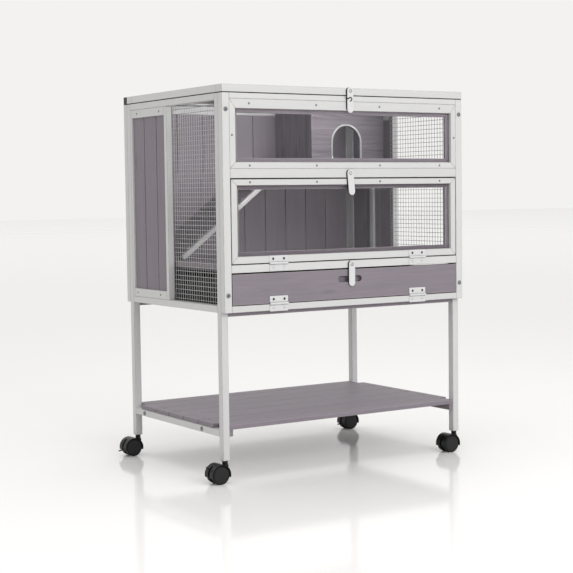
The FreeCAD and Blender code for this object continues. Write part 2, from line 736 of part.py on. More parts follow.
def make_roof():
    width = d.roof_frame_width
    x0, x1 = left, right
    y0, y1 = front, inner_back - d.panel_gap / 2
    front_stick = box("roof_front_blank", x0, x1, y0, y0 + width, roof_bottom, roof_top)
    frame = [
        cut("roof_front_stick", front_stick, [pivot_hole("roof")]),
        box("roof_rear_stick", x0, x1, y1 - width, y1, roof_bottom, roof_top),
        box("roof_left_stick", x0, x0 + width, y0 + width, y1 - width, roof_bottom, roof_top),
        box("roof_right_stick", x1 - width, x1, y0 + width, y1 - width, roof_bottom, roof_top),
    ]
    part("roof_frame", group("roof_frame_group", frame))
    count = 6
    depth = (y1 - y0 - width * 2) / count
    boards = []
    for i in range(count):
        near = y0 + width + depth * i
        boards.append(box("roof_board_%d" % i, x0 + width, x1 - width, near + d.groove / 2,
                          near + depth - d.groove / 2, roof_top - 2 - d.roof_board_thickness, roof_top - 2))
    part("roof_boards", group("roof_boards_group", boards))
    part("rear_hinge_rail", box("rear_hinge_rail_bar", x0, x1, inner_back, back, top, roof_top))


# ---------------------------------------------------------------- butt hinges

def hinge_half(name, x, y, z, turn, fixed):
    """One half of a butt hinge. Before it is turned about the pin, the leaf stands above the pin
    when it moves and hangs below when it is fixed, with its back face axis_proud behind the pin."""
    half = d.hinge_width / 2
    third = d.hinge_width / 3
    slack = 0.2
    if fixed:
        spans = [(as_dim(0) - half, as_dim(0) - third / 2 - slack), (third / 2 + slack, half)]
    else:
        spans = [(as_dim(0) - third / 2, third / 2)]
    sign = -1 if fixed else 1
    gap = d.barrel_radius + 0.4
    pieces = []
    solids = []
    reach = gap + d.leaf_height
    plate_front = d.axis_proud - d.leaf_thickness

    def local_box(tag, a, b, low, high):
        lo, hi = (low, high) if sign > 0 else (as_dim(0) - high, as_dim(0) - low)
        return box(name + tag, a, b, plate_front, d.axis_proud, lo, hi)

    pieces.append(local_box("_leaf", as_dim(0) - half, half, gap, reach))
    for i, (a, b) in enumerate(spans):
        pieces.append(local_box("_tongue%d" % i, a, b, as_dim(0), gap))
        pieces.append(rod(name + "_knuckle%d" % i, a, as_dim(0), as_dim(0), d.barrel_radius, b - a, ALONG_X))
    bore_radius = d.pin_radius if fixed else d.pin_radius + d.running_clearance
    bore = rod(name + "_bore", as_dim(0) - d.hinge_width, as_dim(0), as_dim(0), bore_radius,
               d.hinge_width * 2, ALONG_X)
    solids.append(cut(name + "_half", fuse(name + "_blank", pieces), [bore]))
    if fixed:
        solids.append(rod(name + "_pin", as_dim(0) - half, as_dim(0), as_dim(0), d.pin_radius,
                          d.hinge_width, ALONG_X))
    whole = group(name, solids)
    place(whole, x, y, z, turn)
    return whole


def make_hinges():
    middle = (left + right) / 2
    upright = FreeCAD.Rotation()
    # On the roof the pin lies along the rear joint, and the leaf that moves points to the front.
    flat = FreeCAD.Rotation(FreeCAD.Vector(0, 1, -1), 180)
    places = (
        ("door", hinge_line, base + (d.mid_rail_top + d.door_bottom) / 2, upright),
        ("flap", hinge_line, base + (d.bottom_rail_top + d.flap_bottom) / 2, upright),
        ("roof", inner_back - d.panel_gap / 4, roof_top + d.axis_proud, flat),
    )
    all_fixed = []
    for name, y, z, turn in places:
        moving = []
        for side, sign in (("left", -1), ("right", 1)):
            x = middle + d.hinge_centre * sign
            moving.append(hinge_half("%s_moving_%s" % (name, side), x, y, z, turn, False))
            all_fixed.append(hinge_half("%s_fixed_%s" % (name, side), x, y, z, turn, True))
        part("%s_hinge_leaves" % name, group("%s_hinge_leaves_group" % name, moving))
    part("fixed_hinge_leaves", group("fixed_hinge_leaves_group", all_fixed))


# ---------------------------------------------------------------- shelf

def make_shelf():
    rail_bottom = shelf_bottom - d.shelf_rail_height
    y0 = inner_front
    y1 = inner_back
    x0 = left + d.stock
    x1 = right - d.stock
    rails = []
    bearers = []
    for side, rail_x, bearer_x in (("left", left, x0), ("right", x1, x1 - d.bearer_width)):
        drills = bolt_holes("shelf_rail_" + side, "shelf_" + side)
        rail = box("shelf_rail_blank_" + side, rail_x, rail_x + d.stock, y0 + d.stock, y1 - d.stock,
                   rail_bottom, shelf_bottom)
        rails.append(cut("shelf_rail_" + side, rail, drills))
        drills = bolt_holes("bearer_" + side, "shelf_" + side)
        bearer = box("bearer_blank_" + side, bearer_x, bearer_x + d.bearer_width, y0 + 2, y1 - 2,
                     rail_bottom, shelf_bottom)
        bearers.append(cut("bearer_" + side, bearer, drills))
    part("shelf_end_rails", group("shelf_end_rails_group", rails))
    part("shelf_bearers", group("shelf_bearers_group", bearers))

    wide = 5
    narrow = (y1 - y0 - d.wide_board * wide) / 2
    edges = [y0, y0 + narrow]
    for i in range(wide):
        edges.append(edges[1] + d.wide_board * (i + 1))
    edges.append(y1)
    boards = []
    for i in range(len(edges) - 1):
        near = edges[i] + (d.board_gap / 2 if i > 0 else 0)
        far = edges[i + 1] - (d.board_gap / 2 if i < wide + 1 else 0)
        inset = d.stock if i in (0, wide + 1) else as_dim(1)
        boards.append(box("shelf_board_%d" % i, left + inset, right - inset, near, far, shelf_bottom,
                          shelf_top))
    part("shelf_boards", group("shelf_boards_group", boards))


# ---------------------------------------------------------------- casters

LEVER_LOW = -11
LEVER_RAISED = 33


def sector(name, inner, outer, half_width, start, sweep):
    """Part of a ring about the axle, from start degrees above the tail, over the top."""
    turn = FreeCAD.Rotation(Y_AXIS, 180 + start).multiply(ALONG_Y)
    ring = rod(name + "_ring", as_dim(0) - d.trail, as_dim(0) - half_width, d.wheel_radius, outer,
               as_dim(half_width) * 2, turn, sweep)
    if inner is None:
        return ring
    core = rod(name + "_core", as_dim(0) - d.trail, as_dim(0) - half_width, d.wheel_radius, inner,
               as_dim(half_width) * 2, ALONG_Y)
    return cut(name, ring, [core])


def make_caster(name, x, y, lever_angle):
    """A twin-wheel caster. It is drawn about its stem, with the wheels trailing to the left."""
    zero = as_dim(0)
    trail = d.trail
    middle = d.wheel_radius
    web = d.web_half_width
    hood_inner = d.wheel_radius + d.hood_gap
    brake_gap = 0.6
    shoe_inner = d.wheel_radius - 3.5

    hood = sector(name + "_hood", hood_inner, d.hood_radius, d.hood_half_width, -12, 207)
    web_radius = shoe_inner - brake_gap
    web_disc = rod(name + "_web_disc", zero - trail, zero - web, middle, web_radius, web * 2, ALONG_Y)
    web_top = sector(name + "_web_top", None, d.hood_radius - 0.2, web, 58, 127)
    neck = box(name + "_neck", zero - d.boss_radius, d.boss_radius, zero - web, web, middle,
               d.boss_bottom + 2)
    boss = rod(name + "_boss", zero, zero, d.boss_bottom, d.boss_radius,
               d.caster_height - d.boss_bottom - d.swivel_gap)
    solid = fuse(name + "_solid", [hood, web_disc, web_top, neck, boss])
    hood_slot = box(name + "_hood_slot", zero - trail - d.hood_radius - 1, zero - trail - 6, zero - 4,
                    as_dim(4), middle - 15, middle + 24)
    web_core = rod(name + "_web_core", zero - trail, zero - web, middle, web_radius, web * 2, ALONG_Y)
    slot = cut(name + "_slot", hood_slot, [web_core])
    stem_bore = rod(name + "_stem_bore", zero, zero, middle + 3, d.stem_radius + d.running_clearance,
                    d.caster_height)
    axle_bore = rod(name + "_axle_bore", zero - trail, zero - web, middle, d.axle_radius, web * 2, ALONG_Y)
    housing = cut(name + "_housing_cut", solid, [slot, stem_bore, axle_bore])
    cap = 2
    axle_half = d.wheel_inset + d.wheel_width - cap - 0.3
    axle = rod(name + "_axle", zero - trail, zero - axle_half, middle, d.axle_radius, axle_half * 2, ALONG_Y)
    whole = group(name + "_housing", [housing, axle])
    place(whole, x, y, zero)
    part("caster_housing_" + name, whole)

    wheels = []
    for side, start in (("near", zero - d.wheel_inset - d.wheel_width), ("far", d.wheel_inset)):
        disc = rod("%s_disc_%s" % (name, side), zero - trail, start, middle, d.wheel_radius,
                   d.wheel_width, ALONG_Y)
        rounded = doc.addObject("Part::Chamfer", "%s_tread_%s" % (name, side))
        rounded.Base = disc
        doc.recompute()
        rims = [i + 1 for i, edge in enumerate(disc.Shape.Edges) if edge.Closed]
        rounded.Edges = [(i, 1.5, 1.5) for i in rims]
        bore_start = start + cap if side == "near" else start
        bore = rod("%s_bore_%s" % (name, side), zero - trail, bore_start, middle,
                   d.axle_radius + d.running_clearance, d.wheel_width - cap, ALONG_Y)
        wheels.append(cut("%s_wheel_%s" % (name, side), rounded, [bore]))
    pair = group(name + "_wheels", wheels)
    place(pair, x, y, zero)
    part("caster_wheels_" + name, pair)

    if lever_angle is None:
        return
    shoe = sector(name + "_shoe", shoe_inner, d.wheel_radius + 0.5, as_dim(3), lever_angle - 16, 32)
    tab = doc.addObject("Part::Box", name + "_tab")
    tab.Length = 1
    bind(tab, "Length", d.lever_reach - shoe_inner - 1)
    tab.Width = 6
    tab.Height = 3
    turn = FreeCAD.Rotation(Y_AXIS, 180 + lever_angle)
    start = turn.multVec(FreeCAD.Vector(shoe_inner.value + 1, -3, -1.5))
    place(tab, start.x - trail.value, start.y, start.z + middle.value, turn)
    lever = fuse(name + "_lever", [shoe, tab])
    holder = group(name + "_brake", [lever])
    place(holder, x, y, zero)
    part("brake_lever_" + name, holder)


def make_casters():
    levers = {"front_left": LEVER_RAISED, "rear_left": LEVER_LOW, "rear_right": LEVER_LOW}
    stems = []
    for name, x, y in leg_corners():
        stems.append(rod("stem_" + name, x, y, d.wheel_radius + 4, d.stem_radius,
                         d.caster_height + d.stem_depth - d.wheel_radius - 4))
        make_caster(name, x, y, levers.get(name))
    part("caster_stems", group("caster_stems_group", stems))


# ---------------------------------------------------------------- build, check and write

def check_and_export():
    doc.recompute()
    broken = [o.Name for o in doc.Objects if "Invalid" in o.State or "Error" in o.State]
    if broken:
        raise RuntimeError("objects that failed: %s" % broken)
    box_all = FreeCAD.BoundBox()
    for obj in parts:
        shape = obj.Shape
        if shape.isNull() or not shape.isValid() or not shape.Solids:
            raise RuntimeError("%s has no valid solid" % obj.Label)
        shape.exportStep("parts/%s.step" % obj.Label)
        box_all.add(shape.BoundBox)
    print("%d sub-parts" % len(parts))
    print("outline X %.2f..%.2f Y %.2f..%.2f Z %.2f..%.2f" % (box_all.XMin, box_all.XMax, box_all.YMin,
                                                              box_all.YMax, box_all.ZMin, box_all.ZMax))


make_legs()
make_front_frame()
make_windows()
make_flap()
make_back()
make_sides()
make_floors()
make_tray()
make_nest_box()
make_ramp()
make_roof()
make_hinges()
for strap_name in strap_places():
    make_strap(strap_name)
make_shelf()
make_bolts()
make_casters()
check_and_export()
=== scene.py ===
import json
import math
import random

import bmesh
import bpy
from mathutils import Matrix, Vector, noise


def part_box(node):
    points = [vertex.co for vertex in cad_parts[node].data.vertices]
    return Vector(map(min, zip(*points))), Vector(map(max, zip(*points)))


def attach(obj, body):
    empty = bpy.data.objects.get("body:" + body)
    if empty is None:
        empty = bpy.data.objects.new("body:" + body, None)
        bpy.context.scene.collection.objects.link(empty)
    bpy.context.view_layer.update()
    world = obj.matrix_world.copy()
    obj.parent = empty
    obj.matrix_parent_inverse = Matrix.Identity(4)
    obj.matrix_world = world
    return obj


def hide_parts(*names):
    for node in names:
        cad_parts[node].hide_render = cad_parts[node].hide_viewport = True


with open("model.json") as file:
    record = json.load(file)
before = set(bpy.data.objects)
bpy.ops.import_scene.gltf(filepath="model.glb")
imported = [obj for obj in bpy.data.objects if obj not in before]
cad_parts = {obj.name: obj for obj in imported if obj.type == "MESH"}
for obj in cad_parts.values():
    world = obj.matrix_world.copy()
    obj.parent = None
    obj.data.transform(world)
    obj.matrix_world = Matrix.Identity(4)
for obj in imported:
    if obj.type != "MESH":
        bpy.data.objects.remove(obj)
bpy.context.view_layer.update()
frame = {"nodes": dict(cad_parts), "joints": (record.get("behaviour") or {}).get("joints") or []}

MM = 0.001
EASED = 1.0 * MM       # the rounding of a plain stick's edges
CORNERS = ("front_left", "front_right", "rear_left", "rear_right")
JOINTS = {joint["name"]: joint for joint in frame["joints"]}


# ---------------------------------------------------------------- materials

class Nodes:
    """A small helper for writing a material's node tree."""

    def __init__(self, name):
        self.material = bpy.data.materials.new(name)
        self.material.use_nodes = True
        self.tree = self.material.node_tree
        self.shader = self.tree.nodes["Principled BSDF"]

    def add(self, kind, **settings):
        node = self.tree.nodes.new("ShaderNode" + kind)
        for key, value in settings.items():
            setattr(node, key, value)
        return node

    def link(self, source, target):
        self.tree.links.new(source, target)

    def feed(self, socket, value):
        """Link an output socket, or set a plain value."""
        if isinstance(value, bpy.types.NodeSocket):
            self.link(value, socket)
        elif isinstance(value, (tuple, list)) and len(value) == 3 and socket.type == "RGBA":
            socket.default_value = (*value, 1)
        else:
            socket.default_value = value

    def math(self, operation, a, b=0.0):
        node = self.add("Math", operation=operation)
        self.feed(node.inputs[0], a)
        self.feed(node.inputs[1], b)
        return node.outputs[0]

    def vector(self, operation, a, b=(0, 0, 0)):
        node = self.add("VectorMath", operation=operation)
        self.feed(node.inputs[0], a)
        self.feed(node.inputs[1], b)
        return node.outputs[0]

    def combine(self, value):
        """The same number in all three parts of a vector."""
        node = self.add("CombineXYZ")
        for socket in node.inputs:
            self.feed(socket, value)
        return node.outputs[0]

    def attribute(self, name):
        return self.add("Attribute", attribute_name=name)

    def noise(self, vector, scale, detail=3.0, roughness=0.5, distortion=0.0):
        node = self.add("TexNoise")
        self.feed(node.inputs["Vector"], vector)
        node.inputs["Scale"].default_value = scale
        node.inputs["Detail"].default_value = detail
        node.inputs["Roughness"].default_value = roughness
        node.inputs["Distortion"].default_value = distortion
        return node.outputs["Fac"]

    def span(self, value, low, high, to_low=0.0, to_high=1.0):
        """Map a range smoothly to another range."""
        node = self.add("MapRange", interpolation_type="SMOOTHSTEP")
        self.feed(node.inputs["Value"], value)
        for key, number in (("From Min", low), ("From Max", high), ("To Min", to_low), ("To Max", to_high)):
            node.inputs[key].default_value = number
        return node.outputs["Result"]

    def blend(self, factor, a, b):
        node = self.add("Mix", data_type="RGBA", blend_type="MIX")
        self.feed(node.inputs["Factor"], factor)
        self.feed(node.inputs["A"], a)
        self.feed(node.inputs["B"], b)
        return node.outputs["Result"]

    def bump(self, height, strength, distance, below=None):
        node = self.add("Bump")
        self.feed(node.inputs["Height"], height)
        node.inputs["Strength"].default_value = strength
        node.inputs["Distance"].default_value = distance
        if below is not None:
            self.link(below, node.inputs["Normal"])
        return node.outputs["Normal"]


def scaled(color, factor):
    return tuple(min(1.0, channel * factor) for channel in color)


def painted_wood(name, color, wood, grain, edge_wear_and_shade, roughness, knots=0.0):
    """Paint over solid wood. The grain runs along each stick, and the long edges are blended to a second
    colour: rubbed wear where that colour is lighter, painted shade outlining each stick where it is darker,
    as on the white paint.
    """
    n = Nodes(name)
    local = n.attribute("local")
    half = n.attribute("half").outputs["Vector"]
    seed = n.attribute("seed").outputs["Fac"]
    place = n.vector("ADD", local.outputs["Vector"], n.vector("MULTIPLY", n.combine(seed), (7, 11, 13)))
    stretched = n.vector("MULTIPLY", place, (5, 62, 62))
    fine = n.vector("MULTIPLY", place, (22, 640, 640))
    warp = n.noise(n.vector("MULTIPLY", place, (2.2, 14, 14)), 1.0, 2.0)
    bands = n.noise(n.vector("MULTIPLY", place, (1.3, 30, 30)), 1.0, 1.0, 0.5, 1.2)
    rings = n.math("PINGPONG", n.math("MULTIPLY", bands, 9.0), 0.5)
    figure = n.noise(stretched, 1.0, 5.0, 0.62, 0.4)
    fibres = n.noise(fine, 1.0, 2.0)
    tone = n.math("MULTIPLY", n.math("SUBTRACT", figure, 0.5), grain * 1.6)
    tone = n.math("ADD", tone, n.math("MULTIPLY", n.math("SUBTRACT", rings, 0.25), grain * 0.9))
    tone = n.math("ADD", tone, n.math("MULTIPLY", n.math("SUBTRACT", fibres, 0.5), grain * 0.7))
    tone = n.math("ADD", tone, n.math("MULTIPLY", n.math("SUBTRACT", warp, 0.5), 0.05))
    tone = n.math("ADD", tone, n.math("MULTIPLY", n.math("SUBTRACT", seed, 0.5), 0.05))
    shaded = n.vector("MULTIPLY", n.combine(n.math("ADD", tone, 1.0)), color)
    if knots:
        cells = n.add("TexVoronoi")
        n.link(n.vector("MULTIPLY", place, (4.5, 16, 16)), cells.inputs["Vector"])
        cells.inputs["Scale"].default_value = 1.0
        cells.inputs["Randomness"].default_value = 1.0
        spot = n.span(cells.outputs["Distance"], 0.05, 0.16, knots, 0.0)
        shaded = n.blend(spot, shaded, scaled(color, 0.62))
    # Distance to the nearest long edge: the middle one of the three distances to the faces.
    away = n.vector("SUBTRACT", half, n.vector("ABSOLUTE", local.outputs["Vector"]))
    split = n.add("SeparateXYZ")
    n.link(away, split.inputs[0])
    a, b, c = split.outputs
    low = n.math("MINIMUM", a, b)
    high = n.math("MINIMUM", n.math("MAXIMUM", a, b), c)
    edge = n.math("MAXIMUM", low, high)
    ragged = n.math("MULTIPLY", n.noise(n.vector("MULTIPLY", place, (70, 260, 260)), 1.0, 3.0), 0.0022)
    # Edge mask: on the white paint it darkens each stick's edges as painted shade outlining the stick; on
    # the grey and black paint it shows lighter rubbed wood.
    worn_and_shaded_edge = n.span(n.math("SUBTRACT", edge, ragged), -0.0009, 0.0005, edge_wear_and_shade, 0.0)
    colored = n.blend(worn_and_shaded_edge, shaded, wood)
    n.link(colored, n.shader.inputs["Base Color"])
    rough = n.math("ADD", n.math("MULTIPLY", n.math("SUBTRACT", figure, 0.5), 0.16), roughness)
    n.link(n.math("ADD", rough, n.math("MULTIPLY", worn_and_shaded_edge, 0.2)), n.shader.inputs["Roughness"])
    n.shader.inputs["Specular IOR Level"].default_value = 0.42
    orange_peel = n.bump(n.noise(n.vector("MULTIPLY", place, (260, 420, 420)), 1.0, 2.0), 0.10, 0.0006)
    n.link(n.bump(n.math("ADD", n.math("MULTIPLY", figure, 0.7), fibres), 0.22 + grain, 0.0007, orange_peel),
           n.shader.inputs["Normal"])
    return n.material


def object_point(n):
    return n.add("TexCoord").outputs["Object"]


def metal(name, color, roughness, speckle, metallic=1.0, brushed=0.0):
    """Plated or enamelled sheet: a faint cloudiness, fine scratches and slight dimples."""
    n = Nodes(name)
    point = object_point(n)
    cloud = n.noise(point, 85.0, 4.0, 0.6)
    scratches = n.noise(n.vector("MULTIPLY", point, (2600, 300, 260)), 1.0, 2.0)
    tint = n.math("ADD", n.math("MULTIPLY", n.math("SUBTRACT", cloud, 0.5), speckle), 1.0)
    n.link(n.vector("MULTIPLY", n.combine(tint), color), n.shader.inputs["Base Color"])
    n.shader.inputs["Metallic"].default_value = metallic
    rough = n.math("ADD", n.math("MULTIPLY", n.math("SUBTRACT", cloud, 0.5), 0.22), roughness)
    n.link(n.math("ADD", rough, n.math("MULTIPLY", scratches, brushed)), n.shader.inputs["Roughness"])
    n.link(n.bump(n.math("ADD", cloud, n.math("MULTIPLY", scratches, 0.4)), 0.12, 0.0003),
           n.shader.inputs["Normal"])
    return n.material


def plastic(name, color, roughness, texture, specular, dust=0.0):
    """Moulded plastic with a fine spark-eroded texture, flow marks and a little dust on top."""
    n = Nodes(name)
    point = object_point(n)
    pores = n.noise(point, texture, 2.0)
    flow = n.noise(point, 24.0, 3.0, 0.55, 0.5)
    tint = n.math("ADD", n.math("MULTIPLY", n.math("SUBTRACT", flow, 0.5), 0.5), 1.0)
    base = n.vector("MULTIPLY", n.combine(tint), color)
    if dust:
        up = n.add("SeparateXYZ")
        n.link(n.add("NewGeometry").outputs["Normal"], up.inputs[0])
        lying = n.math("MULTIPLY", n.span(up.outputs[2], 0.55, 1.0), n.span(flow, 0.42, 0.68, 0.0, dust))
        base = n.blend(lying, base, (0.32, 0.31, 0.30))
    n.link(base, n.shader.inputs["Base Color"])
    n.link(n.math("ADD", n.math("MULTIPLY", n.math("SUBTRACT", flow, 0.5), 0.14), roughness),
           n.shader.inputs["Roughness"])
    n.shader.inputs["Specular IOR Level"].default_value = specular
    n.link(n.bump(pores, 0.25, 0.0003), n.shader.inputs["Normal"])
    return n.material


def clear_sheet(name):
    """Thin clear acrylic: almost nothing to see, apart from its gloss and a light haze."""
    n = Nodes(name)
    point = object_point(n)
    haze = n.noise(point, 5.0, 4.0, 0.6)
    smear = n.noise(n.vector("MULTIPLY", point, (9, 9, 46)), 1.0, 3.0)
    n.shader.inputs["Base Color"].default_value = (0.86, 0.89, 0.90, 1)
    n.link(n.math("ADD", n.math("MULTIPLY", smear, 0.08), 0.02), n.shader.inputs["Roughness"])
    n.link(n.math("ADD", n.math("MULTIPLY", haze, 0.01), 0.008), n.shader.inputs["Alpha"])
    n.shader.inputs["IOR"].default_value = 1.49
    return n.material


def floor_material(name):
    n = Nodes(name)
    n.shader.inputs["Base Color"].default_value = (0.86, 0.856, 0.848, 1)
    n.shader.inputs["Roughness"].default_value = 0.10
    n.shader.inputs["Specular IOR Level"].default_value = 0.26
    return n.material


WHITE_COLOR = (0.54, 0.54, 0.542)
GREY_COLOR = (0.198, 0.172, 0.200)
# The white paint's edge colour is a dark grey: painted shade along each stick's outline.
WHITE = painted_wood("white_paint", WHITE_COLOR, (0.27, 0.26, 0.25), grain=0.04, edge_wear_and_shade=0.6, roughness=0.42)
GREY = painted_wood("grey_paint", GREY_COLOR, (0.36, 0.33, 0.33), grain=0.17, edge_wear_and_shade=0.5, roughness=0.5,
                    knots=0.5)
INNER_GREY = painted_wood("inner_grey_paint", GREY_COLOR, (0.36, 0.33, 0.33), grain=0.60, edge_wear_and_shade=0.4,
                          roughness=0.5, knots=0.8)
BLACK = painted_wood("black_paint", (0.022, 0.022, 0.023), (0.10, 0.09, 0.08), grain=0.3, edge_wear_and_shade=0.4,
                     roughness=0.5)
# Near-black colour for the tongues at the bottom of the plank grooves: painted shade in the grooves.
SHADE = painted_wood("painted_groove_shade", (0.020, 0.017, 0.020), (0.03, 0.03, 0.03), grain=0.2, edge_wear_and_shade=0.2,
                     roughness=0.7)
CLEAR = clear_sheet("clear_acrylic")
WIRE = metal("coated_wire", (0.46, 0.46, 0.46), 0.42, 0.12, metallic=0.0)
ENAMEL = metal("white_enamel", (0.58, 0.58, 0.585), 0.30, 0.05, metallic=0.0)
ZINC = metal("zinc_plate", (0.58, 0.58, 0.59), 0.32, 0.25, brushed=0.12)
DARK_STEEL = metal("dark_steel", (0.075, 0.075, 0.078), 0.34, 0.3)
BOLT_STEEL = metal("bolt_steel", (0.20, 0.20, 0.205), 0.30, 0.3)
# Near-black for the strips in the gaps round the lid, door and flap, and for the plates behind the latch
# straps: painted shadow.
PAINTED_SHADOW_BLACK = plastic("seal_rubber", (0.004, 0.004, 0.004), 0.8, 1500.0, specular=0.05)
TRAY_PLASTIC = plastic("tray_plastic", (0.008, 0.008, 0.009), 0.5, 700.0, dust=0.02, specular=0.15)
CASTER_PLASTIC = plastic("caster_plastic", (0.008, 0.008, 0.0085), 0.34, 1200.0, dust=0.04, specular=0.22)
WHEEL_PLASTIC = plastic("wheel_plastic", (0.014, 0.014, 0.0145), 0.30, 1500.0, dust=0.04, specular=0.25)
TREAD = plastic("tread_plastic", (0.006, 0.006, 0.0065), 0.5, 900.0, dust=0.02, specular=0.2)


# ---------------------------------------------------------------- mesh helpers

rng = random.Random(82)


class Piece:
    """A mesh under construction. Each solid carries the coordinates its material follows."""

    def __init__(self, name, body, material):
        self.name = name
        self.body = body
        self.materials = [material]
        self.bm = bmesh.new()
        self.local = self.bm.verts.layers.float_vector.new("local")
        self.half = self.bm.verts.layers.float_vector.new("half")
        self.seed = self.bm.verts.layers.float.new("seed")

    def add(self, mesh, matrix=None, axes=None, index=0):
        """Join a bmesh, with its grain along the first of the axes, or its longest side."""
        lo = Vector(min(v.co[i] for v in mesh.verts) for i in range(3))
        hi = Vector(max(v.co[i] for v in mesh.verts) for i in range(3))
        size = (hi - lo) / 2
        order = axes or sorted(range(3), key=lambda i: -size[i])
        centre = (lo + hi) / 2
        seed = rng.random()
        copies = []
        for v in mesh.verts:
            new = self.bm.verts.new(matrix @ v.co if matrix else v.co)
            offset = v.co - centre
            new[self.local] = Vector(offset[i] for i in order)
            new[self.half] = Vector(size[i] for i in order)
            new[self.seed] = seed
            copies.append(new)
        mesh.verts.index_update()
        for face in mesh.faces:
            made = self.bm.faces.new([copies[v.index] for v in face.verts])
            made.smooth = True
            made.material_index = index
        mesh.free()

    def done(self, replaces=()):
        mesh = bpy.data.meshes.new(self.name)
        self.bm.normal_update()
        self.bm.to_mesh(mesh)
        self.bm.free()
        for material in self.materials:
            mesh.materials.append(material)
        obj = bpy.data.objects.new(self.name, mesh)
        bpy.context.scene.collection.objects.link(obj)
        weighted = obj.modifiers.new("weighted", "WEIGHTED_NORMAL")
        weighted.keep_sharp = True
        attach(obj, self.body)
        if replaces:
            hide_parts(*replaces)
        return obj


def board_mesh(lo, hi, bevel=EASED):
    """A board between two corners with rounded arrises."""
    bm = bmesh.new()
    bmesh.ops.create_cube(bm, size=1.0)
    lo, hi = Vector(lo), Vector(hi)
    for v in bm.verts:
        v.co = Vector(lo[i] + (v.co[i] + 0.5) * (hi[i] - lo[i]) for i in range(3))
    width = min(bevel, min(hi - lo) * 0.3)
    bmesh.ops.bevel(bm, geom=bm.edges[:], offset=width, segments=2, profile=0.6, affect="EDGES")
    return bm


def plate_mesh(outline, low, high, bevel):
    """An upright plate with an outline drawn in (x, z), between two places in y."""
    bm = bmesh.new()
    near = [bm.verts.new((x, low, z)) for x, z in outline]
    far = [bm.verts.new((x, high, z)) for x, z in outline]
    count = len(outline)
    caps = [bm.faces.new(near), bm.faces.new(list(reversed(far)))]
    for i in range(count):
        j = (i + 1) % count
        bm.faces.new([near[j], near[i], far[i], far[j]])
    bmesh.ops.recalc_face_normals(bm, faces=bm.faces[:])
    rims = [edge for cap in caps for edge in cap.edges]
    bmesh.ops.bevel(bm, geom=rims, offset=bevel, segments=2, profile=0.6, affect="EDGES")
    return bm


def lathe_mesh(profile, segments):
    """Turn (radius, height) points about Z."""
    bm = bmesh.new()
    rings = []
    for i in range(segments):
        angle = 2 * math.pi * i / segments
        ring = []
        for radius, height in profile:
            if radius < 1e-7 and rings:
                ring.append(rings[0][len(ring)])
            else:
                ring.append(bm.verts.new((radius * math.cos(angle), radius * math.sin(angle), height)))
        rings.append(ring)
    for i in range(segments):
        a, b = rings[i], rings[(i + 1) % segments]
        for j in range(len(profile) - 1):
            outline = []
            for v in (a[j], b[j], b[j + 1], a[j + 1]):
                if v not in outline:
                    outline.append(v)
            if len(outline) > 2:
                bm.faces.new(outline)
    bmesh.ops.recalc_face_normals(bm, faces=bm.faces[:])
    return bm


def turned(direction, origin):
    """Take local +Z to a direction, at an origin."""
    rotation = Vector((0, 0, 1)).rotation_difference(Vector(direction)).to_matrix().to_4x4()
    return Matrix.Translation(Vector(origin)) @ rotation


def screw_mesh(radius, height, dome=0.3):
    """A cross-recessed screw head: a shallow dome with a cross pressed into it."""
    bm = bmesh.new()
    rings = 9
    spokes = 32
    rows = []
    for i in range(rings + 1):
        r = radius * i / rings
        row = []
        for j in range(spokes if i else 1):
            angle = 2 * math.pi * j / spokes
            x, y = r * math.cos(angle), r * math.sin(angle)
            z = height * (1 - dome * (r / radius) ** 2)
            inside = min(abs(x), abs(y)) < radius * 0.15 and r < radius * 0.62
            if inside:
                z -= height * 0.75
            row.append(bm.verts.new((x, y, z)))
        rows.append(row)
    base = [bm.verts.new((v.co.x, v.co.y, 0)) for v in rows[-1]]
    rows.append(base)
    for j in range(spokes):
        k = (j + 1) % spokes
        bm.faces.new([rows[0][0], rows[1][j], rows[1][k]])
        for i in range(1, len(rows) - 1):
            bm.faces.new([rows[i][j], rows[i + 1][j], rows[i + 1][k], rows[i][k]])
    bm.faces.new(list(reversed(base)))
    bmesh.ops.recalc_face_normals(bm, faces=bm.faces[:])
    return bm


def softened(node, body, material, slot, bevel, segments=2):
    """A copy of a CAD node with its sharp edges rounded, and the coordinates its material needs."""
    source = frame["nodes"][node]
    bm = bmesh.new()
    bm.from_mesh(source.data)
    bmesh.ops.transform(bm, matrix=source.matrix_world, verts=bm.verts[:])
    bmesh.ops.remove_doubles(bm, verts=bm.verts[:], dist=1e-6)
    bmesh.ops.dissolve_limit(bm, angle_limit=math.radians(0.5), verts=bm.verts[:], edges=bm.edges[:])
    bmesh.ops.recalc_face_normals(bm, faces=bm.faces[:])
    piece = Piece(node + "_shaped", body, material)
    piece.add(bm)
    obj = piece.done([node])
    bevelled = obj.modifiers.new("rounded", "BEVEL")
    bevelled.width = bevel
    bevelled.segments = segments
    bevelled.limit_method = "ANGLE"
    bevelled.angle_limit = math.radians(40)
    obj.modifiers.move(len(obj.modifiers) - 1, 0)


# ---------------------------------------------------------------- sticks and boards

def corners(node):
    lo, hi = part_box(node)
    return Vector(lo), Vector(hi)


STILES_LO, STILES_HI = corners("front_stiles")
LEFT, FRONT, BASE = STILES_LO
STOCK = STILES_HI.y - STILES_LO.y
STILE_WIDTH = 22 * MM

# The body in millimetres from its left, front, bottom corner.
WIDTH = 800
DEPTH = 568
HEIGHT = 574                # the top of the frame, just under the lid
RAIL = 18                   # the height of the lowest rails
HEAD = 550                  # where the back's top rail starts
BACK_FACE = 548             # the front face of the back frame
SIDE_GROOVE = 4.0
BACK_GROOVE = 1.8
STRAP_X = 404               # the middle of the straps on the lid, the door and the flap
SHELF = -299                # the top of the lower shelf
SIDE_SCREWS = ((486, 544), (349, 544), (499, 30), (359, 30))     # (y, z) of the screws in a side


def at(x, y, z):
    """A place measured in millimetres from the body's left, front, bottom corner."""
    return Vector((LEFT + x * MM, FRONT + y * MM, BASE + z * MM))


